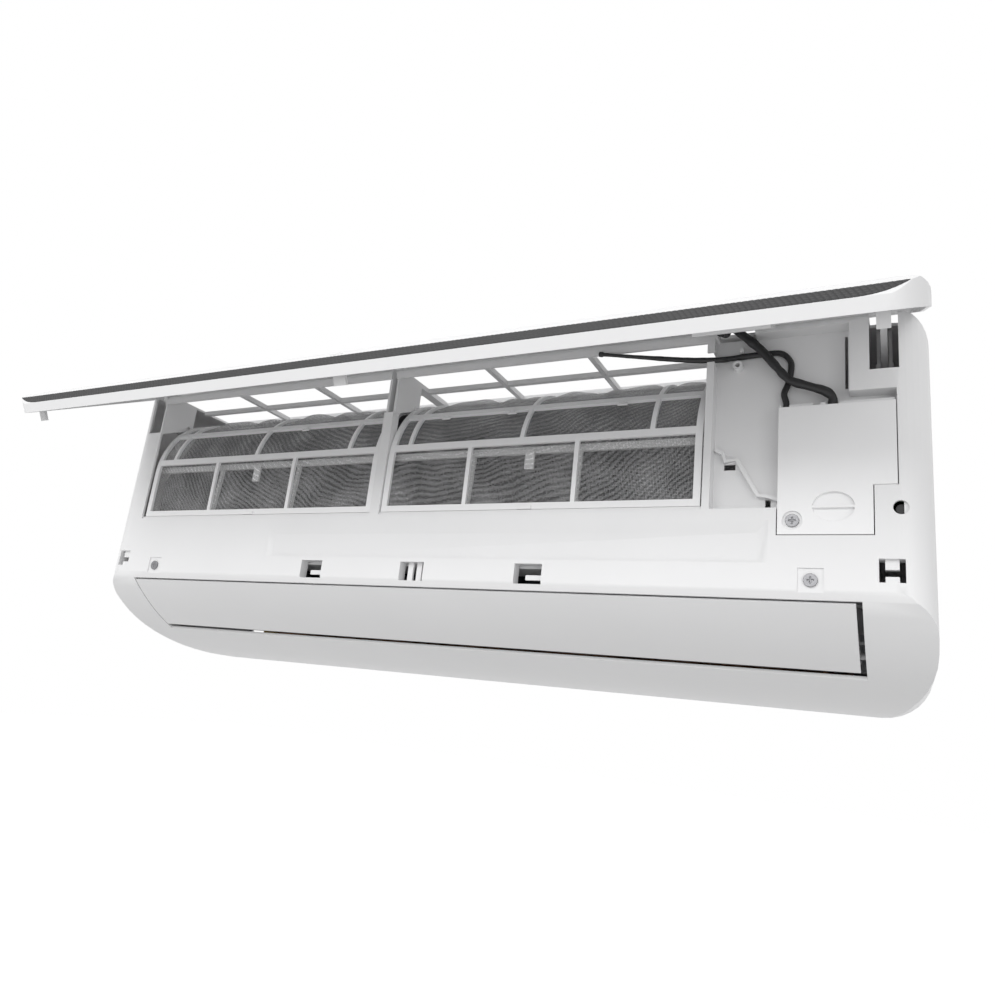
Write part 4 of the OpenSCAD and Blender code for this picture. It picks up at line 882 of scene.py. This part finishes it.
@dataclass
class Coil:
    """The finned coil: thin upright fins on level tubes."""

    x0: float = -378.0
    x1: float = 260.0
    pitch: float = 1.6
    fin_t: float = 0.16
    fin_margin: float = 0.5
    fin_lean: float = 0.10
    seed: int = 5
    tube_r: float = 3.5
    tube_sides: int = 16
    tube_points: int = 4
    slabs: dict[str, tuple[Pair, ...]] = field(default_factory=lambda: {
        "coil_front_lower": ((-172, 108), (-172, 189.7), (-147, 184.1), (-147, 108)),
        "coil_front_upper": ((-172, 190.3), (-136, 266), (-113.4, 255.3), (-147, 184.7)),
        "coil_rear": ((-90, 262), (-28, 190), (-46.9, 173.7), (-108.9, 245.7)),
    })
    tubes: tuple[Pair, ...] = (
        (-159.5, 118), (-159.5, 138), (-159.5, 158), (-159.5, 178),
        (-158.56, 189.15), (-149.97, 207.21), (-141.38, 225.27), (-132.8, 243.3))

    def build(self) -> list[bpy.types.Object]:
        """Builds the fins of each slab and the tubes through the front ones.

        Returns:
            The fin packs and the tubes.
        """
        made = [self._fins(node, np.array(outline, float))
                for node, outline in self.slabs.items()]
        run = np.linspace(self.x0, self.x1, self.tube_points)
        radii = np.full(self.tube_points, self.tube_r * MM)
        for k, (y, z) in enumerate(self.tubes):
            path = at_datum(np.stack([run, np.full_like(run, y), np.full_like(run, z)], -1))
            rod = tube(f"coil_run_{k + 1}", path, radii, self.tube_sides)
            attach(rod, "base")
            made.append(finished(rod, Finish.COPPER))
        return made

    def _fins(self, node: str, outline: np.ndarray) -> bpy.types.Object:
        """Repeats one fin along a slab, each corner a hair out of true.

        A fin is the slab's outline at the fin's place along X, and again one fin's
        thickness further on, with a side between each pair of neighbouring corners.

        Args:
            node: The slab.
            outline: Y and Z of its four corners.

        Returns:
            The fins, standing for the slab.
        """
        rng = np.random.default_rng(self.seed)
        places = np.arange(self.x0 + self.fin_margin, self.x1 - self.fin_margin, self.pitch)
        n = len(places)
        lean = rng.normal(0, self.fin_lean, (n, 4))
        points = np.empty((n, 8, 3))
        points[:, :4, 0] = places[:, None] + lean
        points[:, 4:, 0] = places[:, None] + self.fin_t + lean
        points[:, :4, 1:] = outline
        points[:, 4:, 1:] = outline
        box = np.array([(0, 1, 2, 3), (7, 6, 5, 4), (0, 4, 5, 1), (1, 5, 6, 2), (2, 6, 7, 3),
                        (3, 7, 4, 0)])
        faces = (box[None] + 8 * np.arange(n)[:, None, None]).reshape(-1, 4)
        fins = as_object(f"{node}_fins", at_datum(points.reshape(-1, 3)), faces)
        shade_smooth(fins.data, False)
        turn_out(fins)
        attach(fins, "base")
        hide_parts(node)
        return finished(fins, Finish.FINS)


@dataclass(frozen=True)
class NetSpan:
    """What one net stretches over: its filter, its two ends along X and the ribs between."""

    body: str
    x0: float
    x1: float
    ribs: tuple[float, ...]
    seed: int


@dataclass
class Nets:
    """The two filter nets, slack between the bars that hold them."""

    arc_y: float = -100.0
    arc_z: float = 196.0
    arc_r: float = 82.3
    foot_z: float = 144.5
    arc_end_deg: float = 45.5
    col_step: float = 2.4
    row_step: float = 2.2
    rib_reach: float = 12.0
    rail_reach: float = 6.0
    waves: int = 26
    long_wave: Pair = (28.0, 120.0)
    short_wave: Pair = (9.0, 34.0)
    slant: float = 0.9
    last_phase: float = 6.3
    wave_divisor: float = 5.0
    slack: Pair = (0.35, 0.9)
    bulge: float = 4.5
    arc_start: float = 105.0
    arc_rise: float = 40.0
    arc_fall: float = 30.0
    rails: tuple[float, ...] = (6.0, 59.5, 72.0, 110.5, 118.0, 176.0, 183.0, 246.0)
    nets: dict[str, NetSpan] = field(default_factory=lambda: {
        "mesh_left": NetSpan("filter_left", -380.0, -60.0,
                             (-283.2, -168.8, -353.7, -228.0, -102.5), 11),
        "mesh_right": NetSpan("filter_right", -45.0, 262.5,
                              (45.9, 153.9, -23.9, 98.3, 220.6), 23),
    })

    def build(self) -> list[bpy.types.Object]:
        """Builds both nets.

        Returns:
            The nets, left one first.
        """
        return [self._net(node, span) for node, span in self.nets.items()]

    def _net(self, node: str, span: NetSpan) -> bpy.types.Object:
        """Builds one net over the flat front and the arc above it.

        The height up the net runs straight up to the arc's centre line and then round
        the arc. Each point moves out from there by its fold and bulge, times how free
        it is.

        Args:
            node: The net's solid.
            span: What it stretches over.

        Returns:
            The net, with the UV map cloth in metres across and up it.
        """
        flat = self.arc_z - self.foot_z
        arc = math.radians(180 - self.arc_end_deg) * self.arc_r
        u = np.linspace(span.x0, span.x1, int((span.x1 - span.x0) / self.col_step))
        v = np.linspace(0, flat + arc, int((flat + arc) / self.row_step))
        uu, vv = np.meshgrid(u, v, indexing="xy")
        turn = np.pi - np.clip(vv - flat, 0, None) / self.arc_r
        top = (np.clip((vv - self.arc_start) / self.arc_rise, 0, 1)
               * np.clip((self.rails[-1] - vv) / self.arc_fall, 0, 1))
        slack = self.slack[0] + self.slack[1] * top
        out = self._free(uu, vv, span) * (self._folds(uu, vv, span.seed) * slack
                                          + self.bulge * top)
        rad = self.arc_r + out
        y = np.where(vv < flat, self.arc_y - rad, self.arc_y + rad * np.cos(turn))
        z = np.where(vv < flat, self.foot_z + vv, self.arc_z + rad * np.sin(turn))
        net = as_object(f"{node}_net", at_datum(np.stack([uu, y, z], -1).reshape(-1, 3)),
                        grid_faces(len(v), len(u)))
        layer = net.data.uv_layers.new(name="cloth")
        corners = np.empty(len(net.data.loops), int)
        net.data.loops.foreach_get("vertex_index", corners)
        cloth = np.stack([uu.reshape(-1), vv.reshape(-1)], -1) * MM
        layer.data.foreach_set("uv", cloth[corners].reshape(-1))
        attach(net, span.body)
        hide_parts(node)
        return finished(net, Finish.NET)

    def _free(self, uu: np.ndarray, vv: np.ndarray, span: NetSpan) -> np.ndarray:
        """How free the net is: one less a bell curve over each rib and rail, multiplied.

        Args:
            uu: Place along X of each point.
            vv: Height up the net of each point.
            span: What the net stretches over.

        Returns:
            0 where a bar holds the net, 1 far from all bars.
        """
        free = np.ones_like(uu)
        for line in (span.x0, span.x1, *span.ribs):
            free *= 1 - np.exp(-((uu - line) / self.rib_reach) ** 2)
        for line in self.rails:
            free *= 1 - np.exp(-((vv - line) / self.rail_reach) ** 2)
        return free

    def _folds(self, uu: np.ndarray, vv: np.ndarray, seed: int) -> np.ndarray:
        """Folds of the cloth: a sum of slanted sine waves of chance length and phase.

        Args:
            uu: Place along X of each point.
            vv: Height up the net of each point.
            seed: Seed of the draws.

        Returns:
            How far each point would stand out in mm where nothing holds it.
        """
        rng = np.random.default_rng(seed)
        fold = np.zeros_like(uu)
        for _ in range(self.waves):
            long, short = rng.uniform(*self.long_wave), rng.uniform(*self.short_wave)
            a = rng.uniform(-self.slant, self.slant)
            along = (uu * math.cos(a) + vv * math.sin(a)) / long
            across = (vv * math.cos(a) - uu * math.sin(a)) / (3 * short)
            phase = rng.uniform(0, self.last_phase)
            fold += np.sin(2 * np.pi * (along + across) + phase) / self.wave_divisor
        return fold


@dataclass
class Leads:
    """The leads of the bay, with sleeves that swell and thin along their length."""

    sensor: tuple[Triple, ...] = (
        (170.2, -189.6, 284.8), (207.7, -189.6, 277.6), (248.2, -189.6, 270.3),
        (271, -183.5, 270.5), (283, -176.4, 273.9), (307.4, -176.2, 274.9),
        (322, -176.2, 274), (329.2, -176.2, 266), (329.6, -176.2, 256.4),
        (327.7, -177, 246.2), (325, -178, 237.6), (326.7, -178, 228.5),
        (326.8, -178, 214), (340, -172, 206), (342, -150, 206))
    display: tuple[Triple, ...] = (
        (285.4, -182.9, 297.8), (300.3, -182.9, 283.2), (309.1, -182.9, 273.4),
        (317.7, -182.9, 261.8), (326.2, -182.9, 250.4), (332.8, -182.9, 245.1),
        (344, -182.9, 240.3), (355.1, -182.5, 235.6), (360.5, -181.8, 230.6),
        (361, -180.7, 224.2), (361.3, -179.5, 214), (365, -172, 207), (366, -150, 206))
    panel_end: tuple[Triple, ...] = (
        (280, -191.9, 222), (280, -191.9, 232), (280, -190.9, 238), (280, -190.5, 242))
    step: float = 0.9
    sides: int = 24
    bead_share: float = 0.012
    bead_r: float = 2.3
    sensor_r: float = 1.65
    sensor_swell: float = 0.75
    swell_start: float = 0.10
    swell_run: float = 0.25
    display_r: float = 3.5
    panel_end_r: float = 4.25
    sensor_wear: float = 0.10
    display_wear: float = 0.3
    panel_end_wear: float = 0.08
    wear_points: int = 13
    wear_divisor: float = 3.0
    wear_limit: float = 1.5
    seeds: tuple[int, int, int] = (31, 32, 33)

    def build(self) -> list[bpy.types.Object]:
        """Builds the three leads.

        The sensor lead starts with a bead, and swells up to a third of the way along.

        Returns:
            The leads.
        """
        sensor = smooth_path(at_datum(np.array(self.sensor)), self.step * MM)
        run = np.linspace(0, 1, len(sensor))
        swell = np.clip((run - self.swell_start) / self.swell_run, 0, 1)
        sensor_radii = (np.where(run < self.bead_share, self.bead_r, self.sensor_r)
                        + self.sensor_swell * swell)
        display = smooth_path(at_datum(np.array(self.display)), self.step * MM)
        panel_end = smooth_path(swung(at_datum(np.array(self.panel_end))), self.step * MM)
        display_radii = np.full(len(display), self.display_r)
        panel_end_radii = np.full(len(panel_end), self.panel_end_r)
        runs = (("sensor_lead", sensor, sensor_radii, self.sensor_wear, "base"),
                ("display_cable", display, display_radii, self.display_wear, "base"),
                ("display_lead", panel_end, panel_end_radii, self.panel_end_wear, "panel"))
        return [self._lead(node, path, self._worn(radii, wear, seed), body)
                for (node, path, radii, wear, body), seed in zip(runs, self.seeds)]

    def _worn(self, radii: np.ndarray, depth: float, seed: int) -> np.ndarray:
        """Uneven thickness: the radius plus a running mean of chance steps, held to a limit.

        Args:
            radii: Radius at each point, in mm.
            depth: Size of the unevenness, in mm.
            seed: Seed of the draws.

        Returns:
            The uneven radii.
        """
        rng = np.random.default_rng(seed)
        steps = rng.normal(0, 1, len(radii) + self.wear_points - 1)
        mean = np.convolve(steps, np.hanning(self.wear_points) / self.wear_divisor, "valid")
        return radii + depth * np.clip(mean, -self.wear_limit, self.wear_limit)

    def _lead(self, node: str, path: np.ndarray, radii: np.ndarray,
              body: str) -> bpy.types.Object:
        """Sweeps one lead and gives it its sleeve.

        Args:
            node: The lead's solid.
            path: Its centre line, in metres.
            radii: Radius at each point, in mm.
            body: The body that it moves with.

        Returns:
            The lead.
        """
        piece = tube(f"{node}_sleeve", path, radii * MM, self.sides)
        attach(piece, body)
        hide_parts(node)
        return finished(piece, Finish.LEAD)


@dataclass
class GridTabs:
    """The two tabs that hang from the support grid behind the nets."""

    places: dict[str, float] = field(default_factory=lambda: {"left": -224.0, "right": 107.0})
    half: float = 4.5
    depth: Pair = (-181.4, -178.6)
    height: Pair = (183.0, 200.0)
    rounding: float = 0.5

    def build(self) -> list[bpy.types.Object]:
        """Builds each tab as a block with softened edges.

        Returns:
            The tabs.
        """
        made = []
        for side, x in self.places.items():
            corners = [(x + a * self.half, y, z) for a in (-1, 1)
                       for y in self.depth for z in self.height]
            tab = as_object(f"grid_tab_{side}", at_datum(np.array(corners, float)),
                            [(0, 1, 3, 2), (4, 6, 7, 5), (0, 4, 5, 1), (2, 3, 7, 6),
                             (0, 2, 6, 4), (1, 5, 7, 3)])
            turn_out(tab)
            soften(tab, self.rounding * MM)
            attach(tab, "base")
            made.append(finished(tab, Finish.FRAME))
        return made


@dataclass
class TrimStrip:
    """The dark strip on the panel's nose, with slanted raised scales in rows."""

    low: Pair = (-199.5, 77.0)
    high: Pair = (-206.2, 82.5)
    half: float = 414.0
    past_end: float = 0.2
    taper: float = 34.0
    taper_power: float = 2.8
    reach: Pair = (0.1, 8.5)
    least_width: float = 0.15
    step: float = 0.46
    points_across: int = 25
    period: float = 3.7
    slant: float = 0.62
    row: float = 1.75
    relief: float = 0.42
    least_scale: float = 0.35
    lift: float = 0.25
    rim_sink: float = 0.4

    def build(self) -> list[bpy.types.Object]:
        """Builds the strip as a fine grid of points over the nose's slope.

        Across, a point lies between the lower reach, which climbs towards the ends, and
        the upper one. It stands off the slope by the lift plus a scale's height: two
        humps multiplied, one along the slanted period and one along the row, which grow
        from one side of the scale to the other. The rim is sunk into the nose.

        Returns:
            The strip alone.
        """
        u = np.arange(-self.half, self.half + self.past_end, self.step)
        share = np.linspace(0, 1, self.points_across)
        t = np.clip((np.abs(u) - (self.half - self.taper)) / self.taper, 0, 1)
        climb = self.reach[1] - self.reach[0] - self.least_width
        low = self.reach[0] + climb * t**self.taper_power
        vv = low[:, None] + (self.reach[1] - low)[:, None] * share[None]
        uu = np.broadcast_to(u[:, None], vv.shape)
        a = np.mod((uu + self.slant * vv) / self.period, 1.0)
        b = np.mod(vv / self.row, 1.0)
        hump = (1 - np.abs(2 * a - 1) ** 3) * (1 - np.abs(2 * b - 1) ** 3)
        height = self.relief * hump * (self.least_scale + (1 - self.least_scale) * a)
        height = height * np.clip(np.minimum(share, 1 - share) * self.points_across, 0, 1)
        stand = np.where((share == 0) | (share == 1), -self.rim_sink, self.lift)
        foot, head = np.array(self.low), np.array(self.high)
        along = (head - foot) / np.linalg.norm(head - foot)
        out = np.array([-along[1], along[0]])
        slope = foot + vv[..., None] * along + (height + stand)[..., None] * out
        points = np.concatenate([uu[..., None], slope], -1)
        strip = as_object("trim_strip_relief", swung(at_datum(points.reshape(-1, 3))),
                          grid_faces(len(u), len(share)))
        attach(strip, "panel")
        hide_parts("trim_strip")
        return [finished(strip, Finish.TRIM)]


# ---------------------------------------------------------------- studio


@dataclass(frozen=True)
class Lamp:
    """A square soft lamp that faces the object, in metres and watts."""

    name: str
    place: Triple
    size: float
    power: float

    def build(self) -> None:
        """Hangs the lamp."""
        data = bpy.data.lights.new(self.name, "AREA")
        data.shape = "SQUARE"
        data.size = self.size
        data.energy = self.power
        lamp = bpy.data.objects.new(self.name, data)
        lamp.location = self.place
        lamp.rotation_euler = (-Vector(self.place)).to_track_quat("-Z", "Y").to_euler()
        bpy.context.scene.collection.objects.link(lamp)


@dataclass
class Studio:
    """Camera, lights, floor and background, in metres, with lens and sensor in mm."""

    eye: Triple = (0.4072488, -0.7901093, -0.1863414)
    right: Triple = (0.8886441, 0.4460789, 0.1064202)
    down: Triple = (-0.0236201, 0.2762679, -0.9607904)
    ahead: Triple = (-0.4579888, 0.8512871, 0.2560403)
    lens: float = 28.2695
    sensor: float = 36.0
    shift: Pair = (-0.000844, -0.002583)
    clip: Pair = (0.02, 60.0)
    lamps: tuple[Lamp, ...] = (
        Lamp("key", (-0.6, -2.8, 1.5), 2.0, 49.0),
        Lamp("fill", (1.9, -2.4, 0.1), 2.0, 17.0),
    )
    ambient: float = 0.66
    floor_z: float = -1.25
    floor_half: float = 14.0
    floor_colour: RGB = (0.6, 0.6, 0.6)
    floor_glow: float = 0.7

    def build(self) -> None:
        """Makes everything round the object."""
        self._camera()
        for lamp in self.lamps:
            lamp.build()
        self._world()
        self._floor()

    def _camera(self) -> None:
        """Sets the camera at the place worked out from the photograph."""
        data = bpy.data.cameras.new("camera")
        data.lens = self.lens
        data.sensor_width = self.sensor
        data.shift_x, data.shift_y = self.shift
        data.clip_start, data.clip_end = self.clip
        camera = bpy.data.objects.new("camera", data)
        turn = np.eye(4)
        turn[:3, 0] = self.right
        turn[:3, 1] = -np.array(self.down)
        turn[:3, 2] = -np.array(self.ahead)
        turn[:3, 3] = self.eye
        camera.matrix_world = Matrix(turn.tolist())
        bpy.context.scene.collection.objects.link(camera)
        bpy.context.scene.camera = camera

    def _world(self) -> None:
        """Gives grey light from all round, white where the camera or a mirror looks at it."""
        world = bpy.data.worlds.new("studio")
        bpy.context.scene.world = world
        world.use_nodes = True
        tree = world.node_tree
        tree.nodes.clear()
        out = tree.nodes.new("ShaderNodeOutputWorld")
        mix = tree.nodes.new("ShaderNodeMixShader")
        plain, white = (tree.nodes.new("ShaderNodeBackground") for _ in range(2))
        for light, strength in ((plain, self.ambient), (white, 1.0)):
            light.inputs[0].default_value = (1, 1, 1, 1)
            light.inputs[1].default_value = strength
        tree.links.new(seen_ray(tree), mix.inputs[0])
        tree.links.new(plain.outputs[0], mix.inputs[1])
        tree.links.new(white.outputs[0], mix.inputs[2])
        tree.links.new(mix.outputs[0], out.inputs[0])

    def _floor(self) -> None:
        """Lays a pale floor well below the unit, as under one on a wall.

        It glows only where the camera or a mirror looks at it, so it shows near white
        and throws little light up.
        """
        h = self.floor_half
        floor = as_object("floor", np.array([(-h, -h, self.floor_z), (h, -h, self.floor_z),
                                             (h, h, self.floor_z), (-h, h, self.floor_z)]),
                          [(0, 1, 2, 3)])
        material = bpy.data.materials.new("floor")
        material.use_nodes = True
        tree = material.node_tree
        tree.nodes.clear()
        out = tree.nodes.new("ShaderNodeOutputMaterial")
        matt = tree.nodes.new("ShaderNodeBsdfDiffuse")
        matt.inputs[0].default_value = (*self.floor_colour, 1)
        glow = tree.nodes.new("ShaderNodeEmission")
        glow.inputs[0].default_value = (1, 1, 1, 1)
        glow.inputs[1].default_value = self.floor_glow
        both = tree.nodes.new("ShaderNodeAddShader")
        mix = tree.nodes.new("ShaderNodeMixShader")
        tree.links.new(matt.outputs[0], both.inputs[0])
        tree.links.new(glow.outputs[0], both.inputs[1])
        tree.links.new(seen_ray(tree), mix.inputs[0])
        tree.links.new(matt.outputs[0], mix.inputs[1])
        tree.links.new(both.outputs[0], mix.inputs[2])
        tree.links.new(mix.outputs[0], out.inputs[0])
        floor.data.materials.append(material)


def seen_ray(tree: bpy.types.NodeTree) -> bpy.types.NodeSocket:
    """Tells whether a ray comes from the camera, a mirror or through glass.

    Args:
        tree: The nodes that ask.

    Returns:
        1 where it does, else 0.
    """
    path = tree.nodes.new("ShaderNodeLightPath")
    total = path.outputs["Is Camera Ray"]
    for name in ("Is Glossy Ray", "Is Transmission Ray"):
        add = tree.nodes.new("ShaderNodeMath")
        add.operation = "ADD"
        add.use_clamp = True
        tree.links.new(total, add.inputs[0])
        tree.links.new(path.outputs[name], add.inputs[1])
        total = add.outputs[0]
    return total


def main() -> None:
    """Builds each sub-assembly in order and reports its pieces."""
    logging.basicConfig(level=logging.INFO, format="%(name)s %(message)s")
    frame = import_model()
    bpy.context.scene.view_settings.view_transform = "Standard"
    Studio().build()
    unit: list[SubAssembly] = [
        Mouldings(frame), PlainSolids(frame), Coil(), Nets(), Leads(), GridTabs(), TrimStrip()]
    for assembly in unit:
        for piece in assembly.build():
            LOG.info("%s: %d faces", piece.name, len(piece.data.polygons))


if __name__ == "__main__":
    main()
